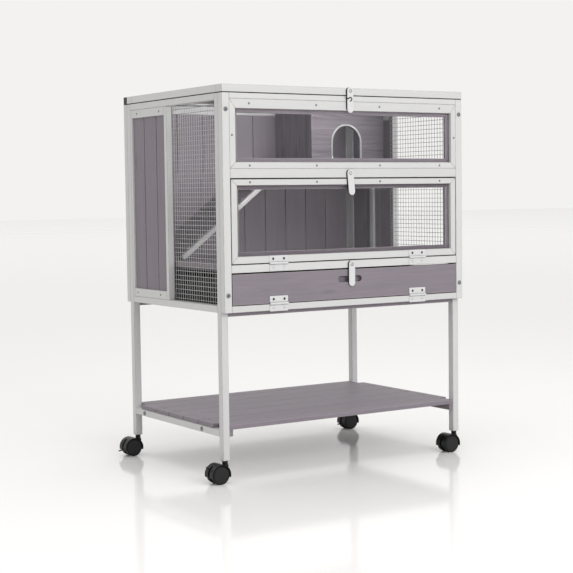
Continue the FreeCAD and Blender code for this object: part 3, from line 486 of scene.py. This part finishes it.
def sticks(name, body, material, nodes, spans, bevel=EASED):
    """One piece made of square-edged boards, each (low corner, high corner)."""
    piece = Piece(name, body, material)
    for lo, hi in spans:
        piece.add(board_mesh(lo, hi, bevel))
    piece.done(nodes)


def mitred_frame(name, body, material, node, side, foot, head):
    """A frame of four sticks that meet on the diagonal: the width of its sides, foot and head."""
    lo, hi = corners(node)
    gap = 0.4 * MM
    outer = [(lo.x, lo.z), (hi.x, lo.z), (hi.x, hi.z), (lo.x, hi.z)]
    inner = [(lo.x + side, lo.z + foot), (hi.x - side, lo.z + foot), (hi.x - side, hi.z - head),
             (lo.x + side, hi.z - head)]
    piece = Piece(name, body, material)
    for i in range(4):
        j = (i + 1) % 4
        along = Vector((1, 0)) if i % 2 == 0 else Vector((0, 1))
        sign = 1 if i in (0, 1) else -1
        step = along * gap * sign
        points = [Vector(outer[i]) + step, Vector(outer[j]) - step, Vector(inner[j]) - step,
                  Vector(inner[i]) + step]
        order = (0, 2, 1) if i % 2 == 0 else (2, 0, 1)
        piece.add(plate_mesh([tuple(point) for point in points], lo.y, hi.y, 0.9 * MM), axes=order)
    piece.done([node])


def seams(low, high, marks, gap):
    """Split a span at marks, leaving a groove at each."""
    starts = [low] + [mark + gap / 2 for mark in marks]
    ends = [mark - gap / 2 for mark in marks] + [high]
    return list(zip(starts, ends))


def make_stand_and_frames():
    for corner in CORNERS:
        node = "leg_" + corner
        sticks(node + "_wood", "hutch", WHITE, [node], [corners(node)], 1.2 * MM)
    lo, hi = corners("front_stiles")
    sticks("front_stiles_wood", "hutch", WHITE, ["front_stiles"], [
        (lo, (lo.x + STILE_WIDTH, hi.y, hi.z)), ((hi.x - STILE_WIDTH, lo.y, lo.z), hi)], 1.2 * MM)
    for node in ("front_top_rail", "window_rail", "mid_rail", "bottom_rail"):
        sticks(node + "_wood", "hutch", WHITE, [node], [corners(node)], 1.2 * MM)
    mitred_frame("upper_window_face", "hutch", WHITE, "upper_window_frame",
                 18 * MM, 17 * MM, 25 * MM)
    mitred_frame("upper_window_inner", "hutch", GREY, "upper_window_batten",
                 29 * MM, 28 * MM, 36 * MM)
    mitred_frame("door_face", "door", WHITE, "door_frame", 18 * MM, 19 * MM, 16 * MM)
    mitred_frame("door_inner", "door", GREY, "door_batten", 29 * MM, 30 * MM, 27 * MM)
    for name, body in (("upper_window", "hutch"), ("door", "door")):
        node = name + "_pane"
        sticks(node + "_sheet", body, CLEAR, [node], [corners(node)], 0.2 * MM)
    softened("flap_board", "flap", GREY, "grey_paint", EASED)


def boxes(*rows):
    """Spans from rows of (x0, x1, y0, y1, z0, z1), in millimetres from the body's corner."""
    return [(at(x0, y0, z0), at(x1, y1, z1)) for x0, x1, y0, y1, z0, z1 in rows]


def make_planks(node, rows, tongues):
    """Planks with grooves between them, and near-black tongues at the bottom of the grooves as painted shade
    in the grooves.
    """
    piece = Piece(node + "_wood", "hutch", GREY)
    piece.materials.append(SHADE)
    for lo, hi in boxes(*rows):
        piece.add(board_mesh(lo, hi, 1.6 * MM))
    for lo, hi in boxes(*tongues):
        piece.add(board_mesh(lo, hi, 0.3 * MM), index=1)
    piece.done([node])


SIDE_HEAD = 556             # the underside of a side's top rail
MID_STILE = (306, 321)      # a side's mid stile, from front to back
PLANKS = (321, 516)         # its planks, from front to back
PLANK_FOOT, PLANK_TOP = 42, 532

# Where each side's members stand along the body's width.
SIDES = {
    "left": {"frame": (0, 20), "mid_stile": (0, 17), "batten": (17, 20), "planks": 4, "brace": 16},
    "right": {"frame": (780, 800), "mid_stile": (783, 800), "batten": (780, 783), "planks": 784,
              "brace": 774},
}


def make_sides():
    for side, row in SIDES.items():
        x0, x1 = row["frame"]
        planks, brace = row["planks"], row["brace"]
        spans = boxes(
            (x0, x1, 40, 528, SIDE_HEAD, HEIGHT),
            (x0, x1, 40, 528, 0, RAIL),
            (*row["mid_stile"], *MID_STILE, RAIL, SIDE_HEAD),
            (x0, x1, PLANKS[1], 528, RAIL, SIDE_HEAD),
            (x0, x1, *PLANKS, PLANK_TOP, SIDE_HEAD),
            (x0, x1, *PLANKS, RAIL, PLANK_FOOT),
            (brace, brace + 10, 401, 417, 126, 362),
        )
        node = "side_frame_" + side
        sticks(node + "_wood", "hutch", WHITE, [node], spans)
        # A thin grey batten on the mid stile covers the cut edge of the mesh.
        sticks(node + "_batten", "hutch", GREY, [],
               boxes((*row["batten"], *MID_STILE, RAIL, SIDE_HEAD)), 0.6 * MM)
        marks = (375.5, 449.5)
        rows = [(planks, planks + 12, a, b, PLANK_FOOT, PLANK_TOP)
                for a, b in seams(*PLANKS, marks, SIDE_GROOVE)]
        tongues = [(planks + 4.5, planks + 7.5, y - 5, y + 5, PLANK_FOOT, PLANK_TOP) for y in marks]
        make_planks("side_planks_" + side, rows, tongues)
        make_mesh_grid(side)


def wire_mesh(start, end, radius, waves):
    """A round wire with a slight drawn waviness."""
    direction = end - start
    length = direction.length
    along = direction.normalized()
    across = along.orthogonal().normalized()
    up = along.cross(across)
    bm = bmesh.new()
    sides = 8
    steps = max(2, int(length / (40 * MM)))
    rings = []
    for i in range(steps + 1):
        t = i / steps
        sway = waves * (noise.noise(start * 91 + along * (t * length * 14)) if 0 < i < steps else 0)
        centre = start + direction * t + across * sway
        rings.append([bm.verts.new(centre + (across * math.cos(a) + up * math.sin(a)) * radius)
                      for a in (2 * math.pi * k / sides for k in range(sides))])
    for near, far in zip(rings, rings[1:]):
        for k in range(sides):
            m = (k + 1) % sides
            bm.faces.new([near[k], near[m], far[m], far[k]])
    bm.faces.new(list(reversed(rings[0])))
    bm.faces.new(rings[-1])
    bmesh.ops.recalc_face_normals(bm, faces=bm.faces[:])
    return bm


def make_mesh_grid(side):
    """Half-inch welded mesh with a white coating. The wires are pressed together where they cross."""
    node = "side_mesh_" + side
    lo, hi = corners(node)
    pitch = 12.7 * MM
    radius = 0.7 * MM
    columns = round((hi.y - lo.y) / pitch)
    rows = round((hi.z - lo.z) / pitch)
    outer, inner = lo.x + radius, hi.x - radius
    piece = Piece(node + "_wires", "hutch", WIRE)
    for i in range(columns + 1):
        y = lo.y + radius + (pitch * i if i < columns else hi.y - lo.y - 2 * radius)
        piece.add(wire_mesh(Vector((outer, y, lo.z)), Vector((outer, y, hi.z)), radius, 0.25 * MM),
                  axes=(2, 0, 1))
    for j in range(rows + 1):
        z = lo.z + radius + (pitch * j if j < rows else hi.z - lo.z - 2 * radius)
        piece.add(wire_mesh(Vector((inner, lo.y, z)), Vector((inner, hi.y, z)), radius, 0.0), axes=(1, 0, 2))
    piece.done([node])


def make_back():
    left, right = 22, WIDTH - 22
    spans = boxes(
        (0, left, BACK_FACE, DEPTH, 0, HEIGHT),
        (right, WIDTH, BACK_FACE, DEPTH, 0, HEIGHT),
        (left, right, BACK_FACE, DEPTH, HEAD, HEIGHT),
        (left, right, BACK_FACE, DEPTH, 0, RAIL),
    )
    sticks("back_frame_wood", "hutch", WHITE, ["back_frame"], spans)
    mid_foot, mid_head = 352, 377
    storeys = (([76.5 + 88 * i for i in range(8)], mid_head, HEAD),
               ([95 + 75 * i for i in range(9)], RAIL, mid_foot))
    rows = [(left, right, BACK_FACE, DEPTH, mid_foot, mid_head)]
    tongues = []
    for marks, low, high in storeys:
        rows += [(a, b, BACK_FACE, 560, low, high) for a, b in seams(left, right, marks, BACK_GROOVE)]
        tongues += [(x - 4, x + 4, 552.5, 555.5, low, high) for x in marks]
    make_planks("back_planks", rows, tongues)


def make_inside():
    for node in ("lower_floor", "upper_floor", "nest_side_wall"):
        sticks(node + "_board", "hutch", INNER_GREY, [node], [corners(node)], 0.6 * MM)
    spans = boxes(
        (20, 780, 20, 548, 0, 7),
        (20, 780, 20, 32, -11, 0),
        (20, 780, 536, 548, -11, 0),
    )
    sticks("base_board_wood", "hutch", GREY, ["base_board"], spans)
    softened("nest_front_wall", "hutch", INNER_GREY, "grey_paint", 0.6 * MM)
    softened("arch_trim", "hutch", WHITE, "white_paint", 0.6 * MM)
    spans = boxes(
        (42, 54, 20, 548, 104, 114),
        (746, 758, 20, 548, 104, 114),
        (24, 44, 24, 544, 7, 17.5),
        (756, 776, 24, 544, 7, 17.5),
    )
    sticks("floor_rails_wood", "hutch", GREY, ["floor_rails"], spans)
    make_tray()
    make_ramp()


def make_tray():
    """A deep moulded tray with rounded corners and a turned-out rim."""
    lo, hi = corners("tray")
    piece = Piece("tray_moulding", "hutch", TRAY_PLASTIC)
    centre = (lo + hi) / 2
    height = hi.z - lo.z
    wall = 2.5 * MM
    lean = 3.0 * MM
    levels = [
        (lean + 6 * MM, 0.0, 8 * MM), (lean + 1 * MM, 1.5 * MM, 12 * MM), (lean, 6 * MM, 14 * MM),
        (4.0 * MM, height - 6 * MM, 16 * MM), (3.6 * MM, height - 3 * MM, 16 * MM),
        (0.0, height - 2.6 * MM, 18 * MM), (0.0, height - 0.6 * MM, 18 * MM), (0.8 * MM, height, 18 * MM),
        (4.0 * MM + wall, height, 14 * MM), (4.6 * MM + wall, height - 3 * MM, 14 * MM),
        (lean + wall + 1.5 * MM, 9 * MM, 11 * MM), (lean + wall + 4 * MM, wall + 1.5 * MM, 9 * MM),
        (lean + wall + 9 * MM, wall, 6 * MM),
    ]
    bm = bmesh.new()
    rings = []
    for inset, z, radius in levels:
        ring = []
        half_x = (hi.x - lo.x) / 2 - inset
        half_y = (hi.y - lo.y) / 2 - inset
        for quarter, (sx, sy) in enumerate(((1, 1), (-1, 1), (-1, -1), (1, -1))):
            for k in range(7):
                angle = math.pi / 2 * (quarter + k / 6)
                x = centre.x + sx * (half_x - radius) + radius * math.cos(angle)
                y = centre.y + sy * (half_y - radius) + radius * math.sin(angle)
                ring.append(bm.verts.new((x, y, lo.z + z)))
        rings.append(ring)
    for near, far in zip(rings, rings[1:]):
        for k in range(len(near)):
            m = (k + 1) % len(near)
            bm.faces.new([near[k], near[m], far[m], far[k]])
    bm.faces.new(list(reversed(rings[0])))
    bm.faces.new(rings[-1])
    bmesh.ops.recalc_face_normals(bm, faces=bm.faces[:])
    piece.add(bm)
    piece.done(["tray"])


def make_ramp():
    """Two rails, a deck of three narrow boards flush between them, and cleats across the deck."""
    slope = math.atan2(248, 330)
    length = math.hypot(330, 248) * MM
    matrix = Matrix.Translation(at(70, 342, 126)) @ Matrix.Rotation(-slope, 4, "Y")
    width = 196 * MM
    rail = 10 * MM
    top = 14 * MM
    rails = Piece("ramp_rails_wood", "hutch", WHITE)
    rails.materials.append(GREY)
    for index, y in enumerate((0.0, width - rail)):
        rails.add(board_mesh((0, y, 0), (length, y + rail, top)), matrix, index=index)
    rails.done(["ramp_rails"])
    deck = Piece("ramp_deck_wood", "hutch", GREY)
    count = 3
    step = (width - 2 * rail) / count
    for i in range(count):
        y = rail + step * i
        deck.add(board_mesh((6 * MM, y + 0.4 * MM, top - 8 * MM),
                            (length - 6 * MM, y + step - 0.4 * MM, top)), matrix)
    for i in range(8):
        x = 45 * MM * (i + 0.7)
        deck.add(board_mesh((x, rail, top - 0.1 * MM), (x + 10 * MM, width - rail, top + 5 * MM), 1.6 * MM),
                 matrix)
    deck.done(["ramp_deck"])


def make_gap_shadow_strips():
    """Thin near-black strips in the gaps round the lid, the door and the flap: painted shadow in the gaps.
    """
    fixed = boxes(
        (0.8, 799.2, 0.8, 14, 574.05, 575.9),
        (0.8, 14, 14, 540, 574.05, 575.9),
        (786, 799.2, 14, 540, 574.05, 575.9),
        (22, 778, 1.2, 14, 125.05, 127.2),
        (24, 776, 2, 18, 351.2, 351.95),
        (24, 776, 20.3, 22, 345, 360),
        (22.05, 23.8, 1.2, 16, 127.6, 349),
        (776.2, 777.95, 1.2, 16, 127.6, 349),
        (22, 778, 1.2, 14, 17.55, 19.2),
        (22.05, 23.8, 1.2, 16, 19.6, 100.4),
        (776.2, 777.95, 1.2, 16, 19.6, 100.4),
    )
    sticks("gap_shadow_strips_hutch", "hutch", PAINTED_SHADOW_BLACK, [], fixed, 0.2 * MM)
    for body, low, high in (("door", 349.02, 349.3), ("flap", 100.52, 100.8)):
        strip = boxes((25, 775, 0.9, 18, low, high))
        sticks("seal_" + body, body, PAINTED_SHADOW_BLACK, [], strip, 0.05 * MM)


def make_roof():
    lo, hi = corners("roof_frame")
    edge = 32 * MM
    spans = [
        ((lo.x, lo.y, lo.z), (hi.x, lo.y + edge, hi.z)),
        ((lo.x, hi.y - edge, lo.z), (hi.x, hi.y, hi.z)),
        ((lo.x, lo.y + edge, lo.z), (lo.x + edge, hi.y - edge, hi.z)),
        ((hi.x - edge, lo.y + edge, lo.z), (hi.x, hi.y - edge, hi.z)),
    ]
    sticks("roof_frame_wood", "roof", WHITE, ["roof_frame"], spans, 1.4 * MM)
    lo, hi = corners("roof_boards")
    count = 6
    step = (hi.y - lo.y) / count
    spans = [((lo.x, lo.y + step * i + 0.7 * MM, lo.z), (hi.x, lo.y + step * (i + 1) - 0.7 * MM, hi.z))
             for i in range(count)]
    sticks("roof_boards_wood", "roof", GREY, ["roof_boards"], spans, 2.2 * MM)
    sticks("rear_hinge_rail_wood", "hutch", BLACK, ["rear_hinge_rail"],
           [corners("rear_hinge_rail")], 1.4 * MM)


def make_shelf():
    lo, hi = corners("shelf_end_rails")
    spans = [(lo, (lo.x + STOCK, hi.y, hi.z)), ((hi.x - STOCK, lo.y, lo.z), hi)]
    sticks("shelf_end_rails_wood", "hutch", WHITE, ["shelf_end_rails"], spans)
    lo, hi = corners("shelf_bearers")
    width = 12 * MM
    spans = [(lo, (lo.x + width, hi.y, hi.z)), ((hi.x - width, lo.y, lo.z), hi)]
    sticks("shelf_bearers_wood", "hutch", GREY, ["shelf_bearers"], spans)
    lo, hi = corners("shelf_boards")
    wide, gap = 84 * MM, 4 * MM
    narrow = (hi.y - lo.y - wide * 5) / 2
    marks = [lo.y + narrow + wide * i for i in range(6)]
    spans = []
    for i, (a, b) in enumerate(seams(lo.y, hi.y, marks, gap)):
        inset = 19 * MM if i in (0, 6) else 0.0
        spans.append(((lo.x + inset, a, lo.z), (hi.x - inset, b, hi.z)))
    sticks("shelf_boards_wood", "hutch", GREY, ["shelf_boards"], spans, 1.6 * MM)


# ---------------------------------------------------------------- hardware

def rounded_outline(x0, x1, z0, z1, radius):
    """A rectangle with rounded corners, as a list of points."""
    steps = 5
    points = []
    for quarter, (cx, cz) in enumerate(((x1, z1), (x0, z1), (x0, z0), (x1, z0))):
        sx = -1 if quarter in (0, 3) else 1
        sz = -1 if quarter in (0, 1) else 1
        for k in range(steps + 1):
            angle = math.pi / 2 * (quarter + k / steps)
            points.append((cx + sx * radius + radius * math.cos(angle),
                           cz + sz * radius + radius * math.sin(angle)))
    return points


HINGE_WIDTH = 57 * MM
KNUCKLE = 3.0 * MM
PROUD = 3.4 * MM
LEAF_THICKNESS = 1.6 * MM
HINGE_X = (166.5, 633.5)


def hinge_half(piece, matrix, moving):
    """One leaf with its knuckles and screws. Local x is along the pin, y into the wood, z up the leaf."""
    sign = 1 if moving else -1
    half = HINGE_WIDTH / 2
    third = HINGE_WIDTH / 3
    near, far = KNUCKLE + 0.4 * MM, KNUCKLE + 0.4 * MM + 17 * MM
    low, high = (near, far) if moving else (-far, -near)
    plate = PROUD - LEAF_THICKNESS
    outline = rounded_outline(-half, half, low, high, 2.0 * MM)
    piece.add(plate_mesh(outline, plate, PROUD, 0.3 * MM), matrix)
    if moving:
        spans = [(-third / 2, third / 2)]
    else:
        spans = [(-half, -third / 2 - 0.2 * MM), (third / 2 + 0.2 * MM, half)]
    for a, b in spans:
        z0, z1 = sorted((0.0, sign * (near + 1.2 * MM)))
        piece.add(board_mesh((a, plate, z0), (b, PROUD - 0.02 * MM, z1), 0.2 * MM), matrix)
        profile = [(0.0, a), (KNUCKLE * 0.86, a), (KNUCKLE, a + 0.35 * MM), (KNUCKLE, b - 0.35 * MM),
                   (KNUCKLE * 0.86, b), (0.0, b)]
        piece.add(lathe_mesh(profile, 24), matrix @ Matrix.Rotation(math.pi / 2, 4, "Y"))
    for x in (-17 * MM, 17 * MM):
        spot = matrix @ Vector((x, plate + 0.1 * MM, sign * (near + 8.5 * MM)))
        out = (matrix.to_3x3() @ Vector((0, -1, 0))).normalized()
        piece.add(screw_mesh(3.4 * MM, 0.9 * MM), turned(out, spot), index=1)


def hinge_frame(joint):
    """World places of a pair of hinges from the joint's pin: matrices for left and right."""
    pin = Vector(JOINTS[joint]["pos_m"])
    turn = Matrix.Rotation(math.pi, 4, Vector((0, 1, -1))) if joint == "roof_hinge" else Matrix()
    return [Matrix.Translation((LEFT + x * MM, pin.y, pin.z)) @ turn for x in HINGE_X]


def make_hinges():
    fixed = Piece("fixed_hinge_leaves_steel", "hutch", ENAMEL)
    fixed.materials.append(ZINC)
    for name in ("roof", "door", "flap"):
        moving = Piece(name + "_hinge_leaves_steel", name, ENAMEL)
        moving.materials.append(DARK_STEEL)
        for matrix in hinge_frame(name + "_hinge"):
            hinge_half(moving, matrix, True)
            hinge_half(fixed, matrix, False)
        moving.done([name + "_hinge_leaves"])
    fixed.done(["fixed_hinge_leaves"])


# Each strap's lower end and pivot height in millimetres, and its tilt in degrees.
LATCHES = {"roof": (528, 588, 0), "door": (304, 341, -5), "flap": (54, 92.5, 0)}


def make_latches():
    """Round-ended straps that stand off the woodwork, each with a washer and a screw on its upper end
    and a black plate behind it, offset to the left, as painted shadow of the strap."""
    radius, length = 10 * MM, 70 * MM
    for name, (low, pivot, tilt) in LATCHES.items():
        node = name + "_latch"
        foot = (low - pivot) * MM
        head = foot + length
        matrix = Matrix.Translation(at(STRAP_X, 0, pivot)) @ Matrix.Rotation(math.radians(tilt), 4, "Y")
        strap = round_ended(0.0, foot, head, radius)
        # A black plate behind the strap, offset to the left: painted shadow of the strap.
        shadow_plate = round_ended(-2.6 * MM, foot + 5 * MM, head - 0.5 * MM, radius - 1.0 * MM)
        piece = Piece(node + "_strap", node + "_body", ENAMEL)
        piece.materials += [ZINC, PAINTED_SHADOW_BLACK, DARK_STEEL]
        piece.add(plate_mesh(strap, -5.5 * MM, -3.0 * MM, 0.7 * MM), matrix)
        piece.add(plate_mesh(shadow_plate, -3.02 * MM, -0.6 * MM, 0.2 * MM), matrix, index=2)
        stem = lathe_mesh([(0.0, 0.0), (2.0 * MM, 0.0), (2.0 * MM, 10.9 * MM), (0.0, 10.9 * MM)], 20)
        piece.add(stem, matrix @ turned((0, 1, 0), (0, -3.0 * MM, 0)), index=1)
        screw = turned((0, -1, 0), (0, -5.5 * MM, head - radius))
        piece.add(lathe_mesh([(0.0, 0.0), (5.0 * MM, 0.0), (4.8 * MM, 0.18 * MM), (0.0, 0.2 * MM)], 32),
                  matrix @ screw, index=3)
        piece.add(screw_mesh(3.7 * MM, 0.9 * MM, 0.55), matrix @ screw, index=1)
        piece.done([node])


def round_ended(x, foot, head, radius):
    """The outline of an upright strap with a half circle at each end, in (x, z)."""
    steps = 16
    outline = []
    for start, z in ((0, head - radius), (math.pi, foot + radius)):
        for k in range(steps + 1):
            angle = start + math.pi * k / steps
            outline.append((x + radius * math.cos(angle), z + radius * math.sin(angle)))
    return outline


def make_hook():
    """The flat bent hook across the lid's strap, with its left end turned round the strap's edge."""
    hook = Piece("roof_latch_hook", "roof_latch_body", DARK_STEEL)
    path = [(-14, -15), (-12, -20), (-8, -22), (-4, -19), (1, -18), (4, -21), (3, -26), (-1, -28)]
    pivot = LATCHES["roof"][1]
    points = [at(STRAP_X + x, -5.95, pivot + z) for x, z in path]
    half = 1.5 * MM
    for a, b in zip(points, points[1:]):
        run = b - a
        turn = Matrix.Rotation(-math.atan2(run.z, run.x), 4, "Y")
        bar = board_mesh((0, -0.42 * MM, -half), (run.length, 0.42 * MM, half), 0.2 * MM)
        hook.add(bar, Matrix.Translation(a) @ turn)
    for spot in points:
        profile = [(0.0, 0.0), (half, 0.0), (half, 0.7 * MM), (half * 0.7, 0.84 * MM), (0.0, 0.84 * MM)]
        hook.add(lathe_mesh(profile, 16), turned((0, -1, 0), spot + Vector((0, 0.42 * MM, 0))))
    hook.done()


def make_bolts():
    """Hexagon-socket bolt heads on the stiles and the shelf's end rails."""
    bolts = Piece("bolt_heads", "hutch", BOLT_STEEL)
    places = []
    for x in (11, WIDTH - 11):
        for z in (46, 531):
            places.append((at(x, 0, z), (0, -1, 0)))
            places.append((at(x, DEPTH, z), (0, 1, 0)))
    for y in (134, 471):
        places.append((at(0, y, -320), (-1, 0, 0)))
        places.append((at(WIDTH, y, -320), (1, 0, 0)))
    for spot, out in places:
        matrix = turned(out, spot)
        profile = [(6.0 * MM, 0.0), (6.0 * MM, 0.9 * MM), (5.4 * MM, 2.1 * MM), (4.0 * MM, 3.0 * MM),
                   (2.4 * MM, 3.0 * MM), (2.3 * MM, 0.9 * MM), (0.0, 0.9 * MM)]
        bolts.add(lathe_mesh(profile, 24), matrix)
    bolts.done(["bolts"])


def make_screws():
    """Small countersunk screws. Each just stands out of the paint."""
    screws = {"hutch": [], "door": [], "roof": []}
    forward = (0, -1, 0)
    for x in (82, 294, 506, 718):
        screws["hutch"] += [(at(x, 0, z), forward) for z in (547, 385)]
        screws["door"].append((at(x, 0, 341), forward))
    for x in (29, WIDTH - 29):
        screws["hutch"].append((at(x, 0, 464), forward))
    for x, out in ((0, (-1, 0, 0)), (WIDTH, (1, 0, 0))):
        screws["hutch"] += [(at(x, y, z), out) for y, z in SIDE_SCREWS]
    for y in (62, 88, 146, 172, 230, 256, 314, 340, 398, 424, 482, 506):
        for x in (30, WIDTH - 30):
            screws["hutch"].append((at(x, y, SHELF), (0, 0, 1)))
    for x in (12, WIDTH - 12):
        for y in (60, 300, 520):
            screws["roof"].append((at(x, y, 596), (0, 0, 1)))
    for body, places in screws.items():
        piece = Piece("screws_" + body, body, DARK_STEEL)
        for spot, out in places:
            piece.add(screw_mesh(2.9 * MM, 0.5 * MM), turned(out, spot - Vector(out) * 0.15 * MM))
        piece.done()


# ---------------------------------------------------------------- casters

def make_wheels(corner):
    """Two wheels on one axle line: a domed disc with a shut line, and a hard rounded tread."""
    centre = Vector(JOINTS["wheel_spin_" + corner]["pos_m"])
    piece = Piece("caster_wheels_%s_moulding" % corner, "wheels_" + corner, WHEEL_PLASTIC)
    piece.materials.append(TREAD)
    tread = [(20.6, 6.1), (23.6, 6.1), (24.6, 6.6), (25.0, 7.8), (25.0, 17.2), (24.7, 18.6), (23.9, 19.3),
             (23.0, 19.4), (22.8, 18.6), (20.6, 18.4)]
    disc = [(4.06, 6.0), (7.5, 6.0), (7.6, 7.2), (20.4, 7.2), (20.5, 6.2), (22.6, 6.2), (22.6, 19.1),
            (21.8, 19.5), (21.0, 19.2), (20.4, 19.5), (17.5, 19.75), (12.0, 19.9), (6.0, 19.98), (0.0, 20.0)]
    for side in (-1, 1):
        matrix = turned((0, side, 0), centre)
        for index, profile in ((1, tread + tread[:1]), (0, disc)):
            points = [(radius * MM, height * MM) for radius, height in profile]
            piece.add(lathe_mesh(points, 64), matrix, index=index)
    piece.done(["caster_wheels_" + corner])


def make_casters():
    finish = (CASTER_PLASTIC, "caster_plastic", 0.7 * MM, 3)
    for corner in CORNERS:
        softened("caster_housing_" + corner, "caster_" + corner, *finish)
        make_wheels(corner)
        if "brake_lever_" + corner in frame["nodes"]:
            softened("brake_lever_" + corner, "brake_" + corner, *finish)
    slots = frame["nodes"]["caster_stems"].data.materials
    slots.clear()
    slots.append(ZINC)


# ---------------------------------------------------------------- camera, floor and light

def make_camera():
    """Seen from the front left, a little above the middle."""
    yaw, pitch, roll = (math.radians(angle) for angle in (32.766, 3.791, -0.758))
    ahead = Vector((math.sin(yaw) * math.cos(pitch), math.cos(yaw) * math.cos(pitch), -math.sin(pitch)))
    level = Vector((math.cos(yaw), -math.sin(yaw), 0))
    upward = level.cross(ahead)
    side = level * math.cos(roll) + upward * math.sin(roll)
    up = upward * math.cos(roll) - level * math.sin(roll)
    data = bpy.data.cameras.new("camera")
    data.sensor_width = 36.0
    data.lens = 88.23
    data.clip_end = 60.0
    camera = bpy.data.objects.new("camera", data)
    camera.matrix_world = Matrix((
        (side.x, up.x, -ahead.x, 0), (side.y, up.y, -ahead.y, 0), (side.z, up.z, -ahead.z, 0), (0, 0, 0, 1)))
    camera.location = at(-1838.5, -3154.0, 310.7)
    bpy.context.scene.collection.objects.link(camera)
    bpy.context.scene.camera = camera


def make_floor():
    mesh = bpy.data.meshes.new("floor")
    reach = 40.0
    points = [(-reach, -reach, 0), (reach, -reach, 0), (reach, reach, 0), (-reach, reach, 0)]
    mesh.from_pydata(points, [], [(0, 1, 2, 3)])
    mesh.materials.append(floor_material("floor"))
    floor = bpy.data.objects.new("floor", mesh)
    bpy.context.scene.collection.objects.link(floor)


def area_light(name, place, target, size, power, spread=180):
    data = bpy.data.lights.new(name, "AREA")
    data.shape = "RECTANGLE"
    data.size, data.size_y = size
    data.energy = power
    data.spread = math.radians(spread)
    light = bpy.data.objects.new(name, data)
    light.visible_camera = False
    light.location = place
    light.rotation_euler = (Vector(target) - Vector(place)).to_track_quat("-Z", "Y").to_euler()
    bpy.context.scene.collection.objects.link(light)


def make_light():
    world = bpy.data.worlds.new("studio")
    bpy.context.scene.world = world
    world.use_nodes = True
    background = world.node_tree.nodes["Background"]
    background.inputs["Color"].default_value = (0.895, 0.887, 0.873, 1)
    background.inputs["Strength"].default_value = 1.0
    middle = (0.0, 0.0, 0.7)
    area_light("key", (0.2, -3.5, 1.9), middle, (2.2, 1.2), 50)
    area_light("fill", (-3.4, -1.6, 1.4), middle, (2.4, 2.0), 3)
    area_light("top", (0.0, 0.0, 4.2), middle, (4.0, 4.0), 50)
    # Four small lights stand inside and under the body, out of sight.
    area_light("upper", at(370, 46, 566), at(370, 560, 530), (0.64, 0.012), 0.66, 90)
    area_light("lower", at(470, 60, 333), at(470, 560, 240), (0.58, 0.012), 0.30, 110)
    area_light("nest", at(630, 372, 566), at(630, 560, 430), (0.20, 0.02), 0.11, 120)
    area_light("under", at(400, 284, -30), at(400, 284, -300), (0.70, 0.45), 0.42, 150)
    view = bpy.context.scene.view_settings
    view.view_transform = "Standard"
    view.look = "None"


make_camera()
make_stand_and_frames()
make_sides()
make_back()
make_inside()
make_roof()
make_shelf()
make_gap_shadow_strips()
make_hinges()
make_latches()
make_hook()
make_bolts()
make_screws()
make_casters()
make_floor()
make_light()
